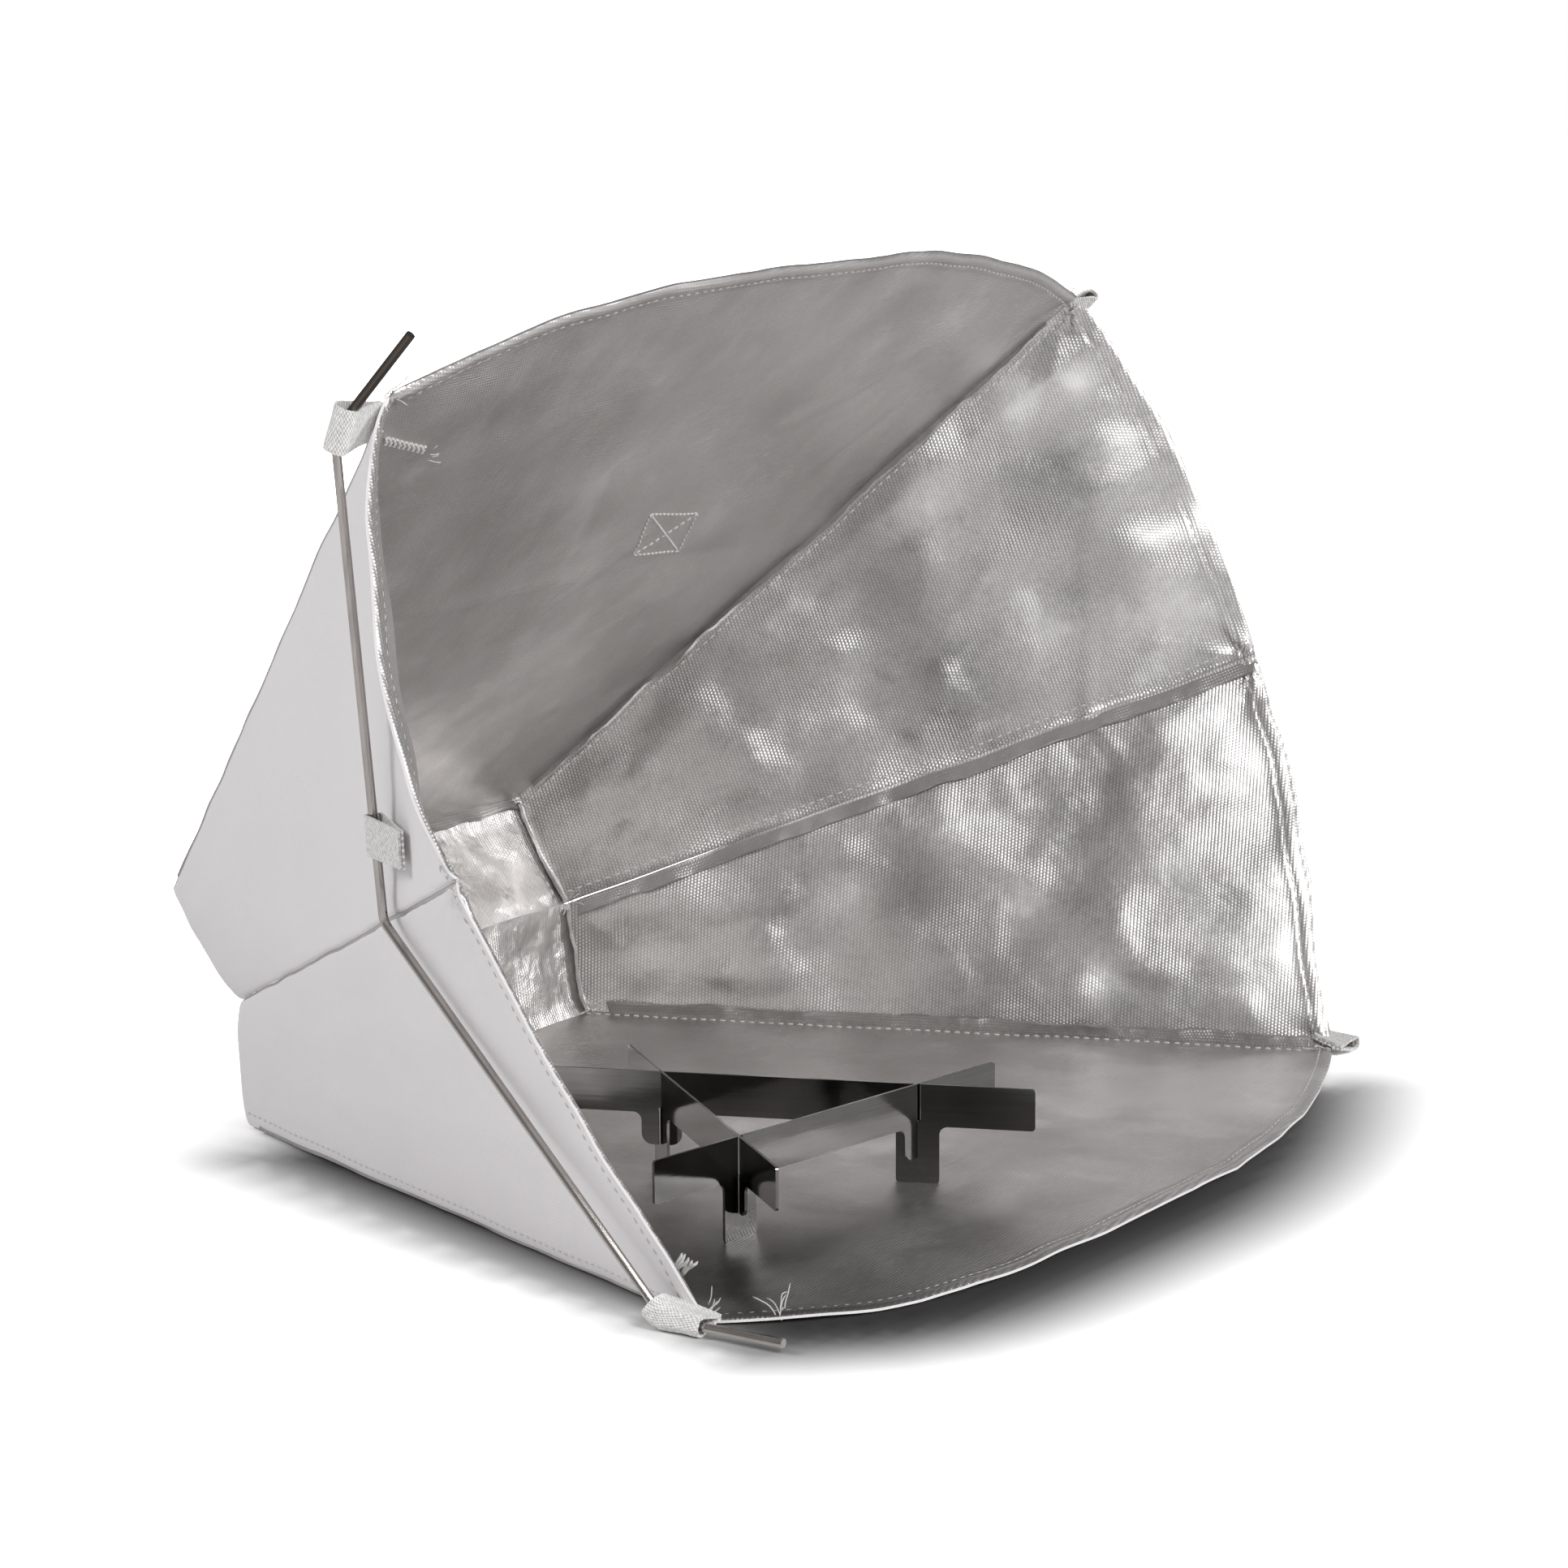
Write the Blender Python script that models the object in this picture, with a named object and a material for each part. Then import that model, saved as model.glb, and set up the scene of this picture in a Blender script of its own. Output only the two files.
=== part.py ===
"""Folding camp oven: a wedge of sewn metallised glass cloth that reflects a campfire's heat.

Eight cloth panels make the floor, the top, four side halves and two back halves. Two bent wire props run
through webbing loops and hold the mouth open. Three interlocked strips make a trivet for a pan.
Units are metres, +Z is up and the mouth faces -Y. The origin is under the middle of the oven.
"""

import math

import bmesh
import bpy
from mathutils import Matrix, Vector

# Cloth body: the floor and the top turn about one apex line behind the oven, which the seams aim at.
MOUTH_WIDTH = 0.420
MOUTH_MIDDLE_WIDTH = 0.514
BACK_WIDTH = 0.210
BACK_MIDDLE_WIDTH = 0.200
APEX_TO_MOUTH = 0.399
APEX_TO_BACK = 0.117
APEX_TO_BACK_CREASE = 0.120
WEDGE_ANGLE = math.radians(46.0)
LIP_BULGE = 0.055
SIDE_EDGE_BULGE = 0.007

# Cloth and the turned hem round the mouth.
CLOTH = 0.001
HEM_WIDTH = 0.007
HEM_THICKNESS = 0.0017
HEM_RAMP = 0.001
SEAM_SETBACK = 0.0006
HEM_SETBACK_SHARE = 0.7

# Wire props: one bend at each end and a kink on the middle plane. The left one has long bent ends, and its
# upper arm leans outwards. The right one stays upright, and its ends stop inside their loops.
ROD_RADIUS = 0.0016
ROD_REACH = 0.391
ROD_KINK_REACH = 0.3036
LEFT_ROD_END = 0.046
LEFT_ROD_LEAN = 0.012
RIGHT_ROD_END = 0.014
ROD_BEND_RADIUS = 0.006
ROD_CLEARANCE = 0.0008

# Webbing loops that hold the props, and the tab on the top.
WEBBING_WIDTH = 0.013
WEBBING_THICKNESS = 0.001
LOOP_SLACK = 0.0005
LOOP_REACH_FROM_MOUTH = 0.0025
LOOP_TAIL_CLEARANCE = 0.0013
LOOP_TAIL_THICKNESS = 0.001
MIDDLE_LOOP_RISE = 0.026
MIDDLE_LOOP_CLEARANCE = 0.0009
TAB_LENGTH = 0.040
TAB_WIDTH = 0.030
TAB_CORNER = 0.002
TAB_TO_CENTRE = 0.041
TAB_TO_APEX = 0.293

# Trivet strips, flat steel with one slotted leg and one slotted tab each.
STRIP_LENGTH = 0.176
STRIP_CROSSING = 0.0924
STRIP_THICKNESS = 0.001
STRIP_HEIGHT = 0.0151
TRIVET_HEIGHT = 0.036
LEG_WIDTH = 0.0155
TAB_LEG_WIDTH = 0.0147
TAB_LEG_LENGTH = 0.0268
STRIP_END_RADIUS = 0.0012
LEG_FOOT_RADIUS = 0.0015
TAB_FOOT_RADIUS = 0.004
LEG_FILLET = 0.003
TRIVET_CENTRE_X = -0.0794
TRIVET_CENTRE_BACK = 0.0634
TRIVET_TURN = math.radians(-67.7)

# Running gaps, and how finely round and curved work is faceted.
TOUCH_GAP = 0.0003
LIP_COLUMNS = 24
SIDE_COLUMNS = 10
PANEL_ROWS = 7
ARC_STEPS = 5
LOOP_SIDES = 20
ROD_BEVEL_STEPS = 3
ARM_SAMPLES = 12
NEWTON_STEPS = 8

# Places that follow from the sizes above.
APEX = Vector((0.0, APEX_TO_MOUTH, CLOTH / 2))
HALF_WEDGE = WEDGE_ANGLE / 2
LOOP_INNER_RADIUS = ROD_RADIUS + LOOP_SLACK
LOOP_OUTER_RADIUS = LOOP_INNER_RADIUS + WEBBING_THICKNESS


def polar(reach, angle, x=0.0):
    """The point at this reach from the apex line, at this angle above the floor."""
    return APEX + Vector((x, -reach * math.cos(angle), reach * math.sin(angle)))


def mirrored_up(point):
    """The floor's half of the oven reflected in the middle plane, which gives the top's half."""
    normal = Vector((0.0, math.sin(HALF_WEDGE), math.cos(HALF_WEDGE)))
    return point - 2 * (point - APEX).dot(normal) * normal


def corners(side):
    """The seam corners on one side: mouth and back, at the floor, the middle and the top."""
    mouth_middle_reach = APEX_TO_MOUTH * math.cos(HALF_WEDGE)
    return {
        "mouth_floor": polar(APEX_TO_MOUTH, 0.0, side * MOUTH_WIDTH / 2),
        "mouth_middle": polar(mouth_middle_reach, HALF_WEDGE, side * MOUTH_MIDDLE_WIDTH / 2),
        "mouth_top": polar(APEX_TO_MOUTH, WEDGE_ANGLE, side * MOUTH_WIDTH / 2),
        "back_floor": polar(APEX_TO_BACK, 0.0, side * BACK_WIDTH / 2),
        "back_middle": polar(APEX_TO_BACK_CREASE, HALF_WEDGE, side * BACK_MIDDLE_WIDTH / 2),
        "back_top": polar(APEX_TO_BACK, WEDGE_ANGLE, side * BACK_WIDTH / 2),
    }


def cloth_x(near, far, place):
    """The x at which the panel between two edges passes a place seen along X."""
    across, along = 0.5, 0.0
    for _ in range(NEWTON_STEPS):
        low = near[0].lerp(far[0], along)
        high = near[1].lerp(far[1], along)
        here = low.lerp(high, across)
        backward = (far[0] - near[0]).lerp(far[1] - near[1], across)
        slopes = Matrix(((high.y - low.y, backward.y), (high.z - low.z, backward.z)))
        across, along = Vector((across, along)) + slopes.inverted() @ (place - here).yz
    return here.x


def side_edges(seams, low, high):
    """The mouth edge and the back edge of one side panel."""
    near = (seams[f"mouth_{low}"], seams[f"mouth_{high}"])
    return near, (seams[f"back_{low}"], seams[f"back_{high}"])


def widest_on_arm():
    """How far the side panel stands out along the prop's lower arm."""
    near, far = side_edges(RIGHT, "floor", "middle")
    kink, bend = polar(ROD_KINK_REACH, HALF_WEDGE), polar(ROD_REACH, 0.0)
    places = [kink.lerp(bend, k / ARM_SAMPLES) for k in range(ARM_SAMPLES)]
    return max(cloth_x(near, far, place) for place in places)


LEFT = corners(-1)
RIGHT = corners(1)
ORIGIN_Y = (RIGHT["back_top"].y - LIP_BULGE) / 2
ROD_X = widest_on_arm() + CLOTH / 2 + LOOP_OUTER_RADIUS + ROD_CLEARANCE


def clear_scene():
    for item in list(bpy.data.objects):
        bpy.data.objects.remove(item, do_unlink=True)


def material(name, colour, roughness, metallic=0.0):
    made = bpy.data.materials.new(name)
    made.use_nodes = True
    shader = made.node_tree.nodes["Principled BSDF"]
    shader.inputs["Base Color"].default_value = (*colour, 1.0)
    shader.inputs["Roughness"].default_value = roughness
    shader.inputs["Metallic"].default_value = metallic
    made.diffuse_color = (*colour, 1.0)
    return made


def add_empty(name, place, parent=None):
    empty = bpy.data.objects.new(name, None)
    bpy.context.scene.collection.objects.link(empty)
    attach(empty, place, parent)
    return empty


def attach(item, place, parent):
    """Puts an unturned object at a place of the oven's frame, under an unturned parent."""
    item.parent = parent
    item.location = place - (Vector() if parent is None else PLACES[parent.name])
    PLACES[item.name] = place


def add_mesh(name, bm, finish, parent, origin):
    """Makes an object from points in the oven's frame, with its origin at the given place."""
    bmesh.ops.translate(bm, verts=bm.verts, vec=-origin)
    bmesh.ops.recalc_face_normals(bm, faces=bm.faces)
    mesh = bpy.data.meshes.new(name)
    bm.to_mesh(mesh)
    bm.free()
    mesh.materials.append(finish)
    mesh.shade_smooth()
    mesh.set_sharp_from_angle(angle=math.radians(30))
    item = bpy.data.objects.new(name, mesh)
    bpy.context.scene.collection.objects.link(item)
    attach(item, origin, parent)
    return item


def arc_rise(share, chord, rise):
    """The height of a circular arc over its chord, at a share of the chord."""
    radius = (chord * chord / 4 + rise * rise) / (2 * rise)
    offset = (share - 0.5) * chord
    return math.sqrt(radius * radius - offset * offset) - (radius - rise)


def panel_rows(length, hemmed):
    """Rows of a panel as (share of its length, thickness), from its mouth edge to its back edge."""
    end = 1 - SEAM_SETBACK / length
    if not hemmed:
        start = SEAM_SETBACK / length
        return [(start + (end - start) * k / PANEL_ROWS, CLOTH) for k in range(PANEL_ROWS + 1)]
    start = (HEM_WIDTH + HEM_RAMP) / length
    rows = [(0.0, HEM_THICKNESS), (HEM_WIDTH / length, HEM_THICKNESS)]
    return rows + [(start + (end - start) * k / PANEL_ROWS, CLOTH) for k in range(PANEL_ROWS + 1)]


def add_panel(name, near, far, outward, bulge, columns, hemmed, finish, parent, origin):
    """A sewn panel between its near edge and its far edge, closed all round, with the hem turned inside."""
    length = (near[0].lerp(near[1], 0.5) - far[0].lerp(far[1], 0.5)).length
    forward = (near[0] + near[1] - far[0] - far[1]).normalized()
    bm = bmesh.new()
    outer, inner = [], []
    for along, thickness in panel_rows(length, hemmed):
        left = near[0].lerp(far[0], along)
        right = near[1].lerp(far[1], along)
        width = (right - left).length
        margin = SEAM_SETBACK + HEM_SETBACK_SHARE * (thickness - CLOTH)
        for k in range(columns + 1):
            across = margin / width + (1 - 2 * margin / width) * k / columns
            point = left.lerp(right, across)
            if bulge:
                point = point + forward * arc_rise(across, width, bulge) * (1 - along)
            normal = (right - left).cross(far[0].lerp(far[1], across) - near[0].lerp(near[1], across))
            normal.normalize()
            if normal.dot(outward) < 0:
                normal.negate()
            outer.append(bm.verts.new(point + normal * CLOTH / 2))
            inner.append(bm.verts.new(point + normal * (CLOTH / 2 - thickness)))
    close_sheet(bm, outer, inner, columns + 1)
    return add_mesh(name, bm, finish, parent, origin)


def close_sheet(bm, outer, inner, row):
    """Faces over two like grids of points and round their rim."""
    rows = len(outer) // row
    for j in range(rows - 1):
        for k in range(row - 1):
            at = j * row + k
            square = (at, at + 1, at + row + 1, at + row)
            bm.faces.new([outer[i] for i in square])
            bm.faces.new([inner[i] for i in reversed(square)])
    rim = list(range(row))
    rim += [j * row + row - 1 for j in range(1, rows)]
    rim += [(rows - 1) * row + k for k in range(row - 2, -1, -1)]
    rim += [j * row for j in range(rows - 2, 0, -1)]
    for here, there in zip(rim, rim[1:] + rim[:1]):
        bm.faces.new((outer[here], inner[here], inner[there], outer[there]))


def rounded(points, closed):
    """A polyline of (point, corner radius) with each corner that has a radius turned into an arc."""
    made = []
    count = len(points)
    for k, (corner, radius) in enumerate(points):
        if not radius or not closed and k in (0, count - 1):
            made.append(corner)
            continue
        before = (points[k - 1][0] - corner).normalized()
        after = (points[(k + 1) % count][0] - corner).normalized()
        half = before.angle(after) / 2
        centre = corner + (before + after).normalized() * (radius / math.sin(half))
        start = corner + before * (radius / math.tan(half)) - centre
        end = corner + after * (radius / math.tan(half)) - centre
        turn = start.angle(end)
        for step in range(ARC_STEPS + 1):
            part = step / ARC_STEPS
            weight = math.sin((1 - part) * turn) * start + math.sin(part * turn) * end
            made.append(centre + weight / math.sin(turn))
    return made


def rod_corners(side):
    """The prop's corner points, from its foot on the ground to its upper end along the top."""
    across = Vector((side * ROD_X, 0.0, 0.0))
    lift = Vector((0.0, 0.0, LOOP_OUTER_RADIUS - APEX.z))
    bend = polar(ROD_REACH, 0.0) + lift + across
    end, lean = (LEFT_ROD_END, Vector((-LEFT_ROD_LEAN, 0.0, 0.0))) if side < 0 else (RIGHT_ROD_END, Vector())
    tip = bend - Vector((0.0, end, 0.0))
    kink = polar(ROD_KINK_REACH, HALF_WEDGE) + across
    return tip, bend, kink, mirrored_up(bend) + lean, mirrored_up(tip) + lean


def add_rod(name, side, finish, parent):
    """A prop of round wire, its two ends bent forward, with its origin on the foot's own axis."""
    tip, bend, kink, upper_bend, upper_tip = rod_corners(side)
    route = [(tip, 0), (bend, ROD_BEND_RADIUS), (kink, ROD_BEND_RADIUS), (upper_bend, ROD_BEND_RADIUS)]
    points = rounded(route + [(upper_tip, 0)], closed=False)
    curve = bpy.data.curves.new(name, "CURVE")
    curve.dimensions = "3D"
    curve.bevel_depth = ROD_RADIUS
    curve.bevel_resolution = ROD_BEVEL_STEPS
    curve.use_fill_caps = True
    spline = curve.splines.new("POLY")
    spline.points.add(len(points) - 1)
    for control, point in zip(spline.points, points):
        control.co = (*(point - bend), 1.0)
    curve.materials.append(finish)
    item = bpy.data.objects.new(name, curve)
    bpy.context.scene.collection.objects.link(item)
    attach(item, bend, parent)
    return item


def add_loop(name, centre, along, tail_tip, finish, parent, upside_down=False):
    """A webbing loop round the wire at centre, drawn out to a flat tail whose end lies at tail_tip."""
    tail = tail_tip - centre
    tail = tail - tail.dot(along) * along
    reach = tail.length
    axis_a = tail.normalized()
    axis_b = along.cross(axis_a)
    bm = bmesh.new()
    rings = []
    for end in (-0.5, 0.5):
        shift = centre + along * WEBBING_WIDTH * end
        for bore in (False, True):
            ring = []
            for k in range(LOOP_SIDES):
                turn = 2 * math.pi * k / LOOP_SIDES
                radius = LOOP_INNER_RADIUS if bore else LOOP_OUTER_RADIUS
                a, b = radius * math.cos(turn), radius * math.sin(turn)
                if not bore and k in (0, 1, LOOP_SIDES - 1):
                    a = reach
                    b = LOOP_TAIL_THICKNESS / 2 * (k == 1) - LOOP_TAIL_THICKNESS / 2 * (k > 1)
                place = shift + a * axis_a + b * axis_b
                ring.append(bm.verts.new(mirrored_up(place) if upside_down else place))
            rings.append(ring)
    near_outer, near_inner, far_outer, far_inner = rings
    for k in range(LOOP_SIDES):
        n = (k + 1) % LOOP_SIDES
        bm.faces.new((near_outer[k], near_outer[n], near_inner[n], near_inner[k]))
        bm.faces.new((far_outer[k], far_inner[k], far_inner[n], far_outer[n]))
        bm.faces.new((near_outer[k], far_outer[k], far_outer[n], near_outer[n]))
        bm.faces.new((near_inner[k], near_inner[n], far_inner[n], far_inner[k]))
    origin = mirrored_up(centre) if upside_down else centre
    return add_mesh(name, bm, finish, parent, origin)


def corner_loop(name, side, finish, parent, upside_down=False):
    """The loop at a mouth corner: it wraps the prop's bent end and is sewn in beside the corner."""
    tip, bend, _, upper_bend, _ = rod_corners(side)
    along = (tip - bend).normalized()
    wire_x = upper_bend.x if upside_down else bend.x
    centre = Vector((wire_x, APEX.y - APEX_TO_MOUTH - LOOP_REACH_FROM_MOUTH, bend.z))
    tail_x = side * (MOUTH_WIDTH / 2 + LOOP_TAIL_CLEARANCE)
    tail_tip = Vector((tail_x, centre.y, LOOP_TAIL_THICKNESS / 2))
    return add_loop(name, centre, along, tail_tip, finish, parent, upside_down)


def middle_loop(name, side, finish, parent):
    """The loop just over the middle seam, sewn flat to the upper side panel."""
    near, far = side_edges(LEFT if side < 0 else RIGHT, "middle", "top")
    _, _, kink, upper_bend, _ = rod_corners(side)
    along = (upper_bend - kink).normalized()
    centre = kink + along * MIDDLE_LOOP_RISE
    ends = [centre + along * WEBBING_WIDTH * end for end in (-0.5, 0.5)]
    widest = max(side * cloth_x(near, far, end) for end in ends)
    tail_x = side * (widest + CLOTH / 2 + MIDDLE_LOOP_CLEARANCE)
    return add_loop(name, centre, along, Vector((tail_x, centre.y, centre.z)), finish, parent)


def strip_outline():
    """One trivet strip seen from its side: x along it, z up from the floor that it stands on."""
    half = STRIP_LENGTH / 2
    under = TRIVET_HEIGHT - STRIP_HEIGHT
    slot = STRIP_THICKNESS * (1 / math.sin(math.radians(60)) + 1 / math.tan(math.radians(60)))
    slot = slot / 2 + TOUCH_GAP
    leg, tab = STRIP_CROSSING / 2, -STRIP_CROSSING / 2
    tab_foot = TRIVET_HEIGHT - TAB_LEG_LENGTH
    middle = (TRIVET_HEIGHT + tab_foot) / 2
    tab_half, leg_half = TAB_LEG_WIDTH / 2, LEG_WIDTH / 2
    points = [
        (-half, under, STRIP_END_RADIUS),
        (tab - tab_half, under, LEG_FILLET),
        (tab - tab_half, tab_foot, TAB_FOOT_RADIUS),
        (tab - slot, tab_foot, 0),
        (tab - slot, middle + TOUCH_GAP / 2, 0),
        (tab + slot, middle + TOUCH_GAP / 2, 0),
        (tab + slot, tab_foot, 0),
        (tab + tab_half, tab_foot, TAB_FOOT_RADIUS),
        (tab + tab_half, under, LEG_FILLET),
        (leg - leg_half, under, LEG_FILLET),
        (leg - leg_half, 0, LEG_FOOT_RADIUS),
        (leg + leg_half, 0, LEG_FOOT_RADIUS),
        (leg + leg_half, under, LEG_FILLET),
        (half, under, STRIP_END_RADIUS),
        (half, TRIVET_HEIGHT, STRIP_END_RADIUS),
        (leg + slot, TRIVET_HEIGHT, 0),
        (leg + slot, middle - TOUCH_GAP / 2, 0),
        (leg - slot, middle - TOUCH_GAP / 2, 0),
        (leg - slot, TRIVET_HEIGHT, 0),
        (-half, TRIVET_HEIGHT, STRIP_END_RADIUS),
    ]
    return rounded([(Vector((x, 0.0, z)), radius) for x, z, radius in points], closed=True)


def add_trivet(finish, parent):
    """Three like strips, each a third of a turn on, that hold each other in a triangle."""
    to_side = STRIP_CROSSING / (2 * math.sqrt(3))
    centre = Vector((TRIVET_CENTRE_X, APEX.y - APEX_TO_MOUTH + TRIVET_CENTRE_BACK, CLOTH + TOUCH_GAP))
    group = add_empty("trivet", centre, parent)
    bm = bmesh.new()
    edge = Vector((0.0, to_side - STRIP_THICKNESS / 2, 0.0))
    face = bm.faces.new([bm.verts.new(point + edge) for point in strip_outline()])
    grown = bmesh.ops.extrude_face_region(bm, geom=[face])["geom"]
    moved = [item for item in grown if isinstance(item, bmesh.types.BMVert)]
    bmesh.ops.translate(bm, verts=moved, vec=(0.0, STRIP_THICKNESS, 0.0))
    first = add_mesh("trivet_strip_1", bm, finish, group, Vector())
    for k in range(3):
        strip = first if k == 0 else bpy.data.objects.new(f"trivet_strip_{k + 1}", first.data)
        if k:
            bpy.context.scene.collection.objects.link(strip)
        attach(strip, centre, group)
        strip.rotation_euler.z = TRIVET_TURN - k * math.radians(120)


def add_top_tab(finish, parent):
    """A short piece of webbing sewn flat on the outside of the top."""
    bm = bmesh.new()
    half_length, half_width = TAB_LENGTH / 2, TAB_WIDTH / 2
    square = [(-half_length, -half_width), (half_length, -half_width)]
    square += [(half_length, half_width), (-half_length, half_width)]
    outline = rounded([(Vector((x, y, 0.0)), TAB_CORNER) for x, y in square], closed=True)
    face = bm.faces.new([bm.verts.new(point) for point in outline])
    grown = bmesh.ops.extrude_face_region(bm, geom=[face])["geom"]
    moved = [item for item in grown if isinstance(item, bmesh.types.BMVert)]
    bmesh.ops.translate(bm, verts=moved, vec=(0.0, 0.0, WEBBING_THICKNESS))
    normal = Vector((0.0, math.sin(WEDGE_ANGLE), math.cos(WEDGE_ANGLE)))
    seat = polar(TAB_TO_APEX, WEDGE_ANGLE, TAB_TO_CENTRE) + normal * (CLOTH / 2 + TOUCH_GAP)
    bmesh.ops.rotate(bm, verts=bm.verts, matrix=Matrix.Rotation(-WEDGE_ANGLE, 3, "X"))
    bmesh.ops.translate(bm, verts=bm.verts, vec=seat)
    return add_mesh("top_tab", bm, finish, parent, seat)


def fold_axes():
    """The three fold lines: floor to back, back crease, and back to top. Each lies just off the cloth."""
    rise = (RIGHT["back_middle"] - RIGHT["back_floor"]).yz
    inward = Vector((0.0, -rise.y, rise.x)).normalized()
    off = (CLOTH + TOUCH_GAP) / 2
    at_floor = RIGHT["back_floor"] + inward * off
    at_floor = Vector((0.0, at_floor.y, APEX.z + off))
    half_fold = (RIGHT["back_middle"] - RIGHT["back_floor"]).angle(
        RIGHT["back_top"] - RIGHT["back_middle"]
    ) / 2
    behind = Vector((0.0, math.cos(HALF_WEDGE), -math.sin(HALF_WEDGE)))
    crease = RIGHT["back_middle"] + behind * (off / math.cos(half_fold))
    return at_floor, Vector((0.0, crease.y, crease.z)), mirrored_up(at_floor)


clear_scene()
PLACES = {}

cloth = material("metallised_cloth", (0.62, 0.61, 0.61), 0.42, 0.6)
webbing = material("white_webbing", (0.78, 0.78, 0.76), 0.85)
wire = material("stainless_wire", (0.62, 0.62, 0.64), 0.22, 1.0)
steel = material("dark_polished_steel", (0.16, 0.16, 0.17), 0.25, 1.0)

floor_axis, crease_axis, top_axis = fold_axes()
oven = add_empty("camp_oven", Vector(), None)
back_lower_fold = add_empty("back_lower_fold", floor_axis, oven)
back_upper_fold = add_empty("back_upper_fold", crease_axis, back_lower_fold)
top_fold = add_empty("top_fold", top_axis, back_upper_fold)

DOWN, UP = Vector((0.0, 0.0, -1.0)), Vector((0.0, math.sin(WEDGE_ANGLE), math.cos(WEDGE_ANGLE)))
BACKWARD = Vector((0.0, 1.0, 0.0))


def edge(place):
    """The left and right corners of one place, as a panel's edge."""
    return LEFT[place], RIGHT[place]


floor_edges = (edge("mouth_floor"), edge("back_floor"), DOWN, LIP_BULGE, LIP_COLUMNS, True)
add_panel("floor_panel", *floor_edges, cloth, oven, Vector())
top_edges = (edge("mouth_top"), edge("back_top"), UP, LIP_BULGE, LIP_COLUMNS, True)
add_panel("top_panel", *top_edges, cloth, top_fold, top_axis)
back_low = (edge("back_floor"), edge("back_middle"), BACKWARD, 0, SIDE_COLUMNS, False)
add_panel("back_lower_panel", *back_low, cloth, back_lower_fold, floor_axis)
back_high = (edge("back_middle"), edge("back_top"), BACKWARD, 0, SIDE_COLUMNS, False)
add_panel("back_upper_panel", *back_high, cloth, back_upper_fold, crease_axis)

for word, side, seams in (("left", -1, LEFT), ("right", 1, RIGHT)):
    away = Vector((side, 0.0, 0.0))
    shape = (away, SIDE_EDGE_BULGE, SIDE_COLUMNS, True)
    lower = side_edges(seams, "floor", "middle")
    add_panel(f"{word}_lower_side", *lower, *shape, cloth, oven, seams["mouth_floor"])
    upper = side_edges(seams, "middle", "top")
    add_panel(f"{word}_upper_side", *upper, *shape, cloth, top_fold, seams["mouth_top"])
    add_rod(f"{word}_rod", side, wire, oven)
    corner_loop(f"{word}_bottom_loop", side, webbing, oven)
    corner_loop(f"{word}_top_loop", side, webbing, top_fold, upside_down=True)
    middle_loop(f"{word}_middle_loop", side, webbing, top_fold)

add_top_tab(webbing, top_fold)
add_trivet(steel, oven)
oven.location.y = -ORIGIN_Y
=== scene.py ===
import math

import bpy
import numpy as np
from mathutils import Matrix, Vector, noise


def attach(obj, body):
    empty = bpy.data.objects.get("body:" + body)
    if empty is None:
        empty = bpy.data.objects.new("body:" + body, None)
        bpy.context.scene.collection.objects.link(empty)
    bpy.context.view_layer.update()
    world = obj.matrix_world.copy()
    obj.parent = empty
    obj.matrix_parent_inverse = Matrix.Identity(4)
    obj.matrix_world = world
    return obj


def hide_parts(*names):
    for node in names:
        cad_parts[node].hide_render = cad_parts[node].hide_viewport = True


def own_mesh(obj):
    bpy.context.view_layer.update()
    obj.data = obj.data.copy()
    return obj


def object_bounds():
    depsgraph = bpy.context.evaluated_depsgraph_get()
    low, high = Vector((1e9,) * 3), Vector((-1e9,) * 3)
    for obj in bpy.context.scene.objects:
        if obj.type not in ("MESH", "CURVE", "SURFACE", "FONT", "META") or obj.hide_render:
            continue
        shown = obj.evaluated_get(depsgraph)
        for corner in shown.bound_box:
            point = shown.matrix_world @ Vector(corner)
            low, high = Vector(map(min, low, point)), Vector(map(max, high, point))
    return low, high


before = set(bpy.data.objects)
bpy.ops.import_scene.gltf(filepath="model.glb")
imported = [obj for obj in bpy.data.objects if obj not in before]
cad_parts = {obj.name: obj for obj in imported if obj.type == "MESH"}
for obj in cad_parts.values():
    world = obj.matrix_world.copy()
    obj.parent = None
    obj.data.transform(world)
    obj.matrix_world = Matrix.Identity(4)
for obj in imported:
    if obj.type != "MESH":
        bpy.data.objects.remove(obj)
cad_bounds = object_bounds()

# The studio: one camera off the left front corner of the mouth, just over the oven's top, and a white
# sweep of paper. The long lens keeps the mouth's four edges close to their true angles.
FRAME_PIXELS, FOCAL_PIXELS = 1932, 5867
azimuth, down, tilt = math.radians(55.51), math.radians(10.91), math.radians(-0.31)
gaze = Vector((math.sin(azimuth) * math.cos(down), math.cos(azimuth) * math.cos(down), -math.sin(down)))
level = Vector((math.cos(azimuth), -math.sin(azimuth), 0.0))
upright = level.cross(gaze)
lens = bpy.data.cameras.new("camera")
lens.sensor_width = 36.0
lens.lens = lens.sensor_width * FOCAL_PIXELS / FRAME_PIXELS
camera = bpy.data.objects.new("camera", lens)
bpy.context.scene.collection.objects.link(camera)
across = math.cos(tilt) * level + math.sin(tilt) * upright
above = math.cos(tilt) * upright - math.sin(tilt) * level
camera.matrix_world = Matrix.Translation((-1.3981, -0.9794, 0.4567)) @ Matrix(
    (across, above, -gaze)
).transposed().to_4x4()
bpy.context.scene.camera = camera
bpy.context.scene.view_settings.view_transform = "Standard"


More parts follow.
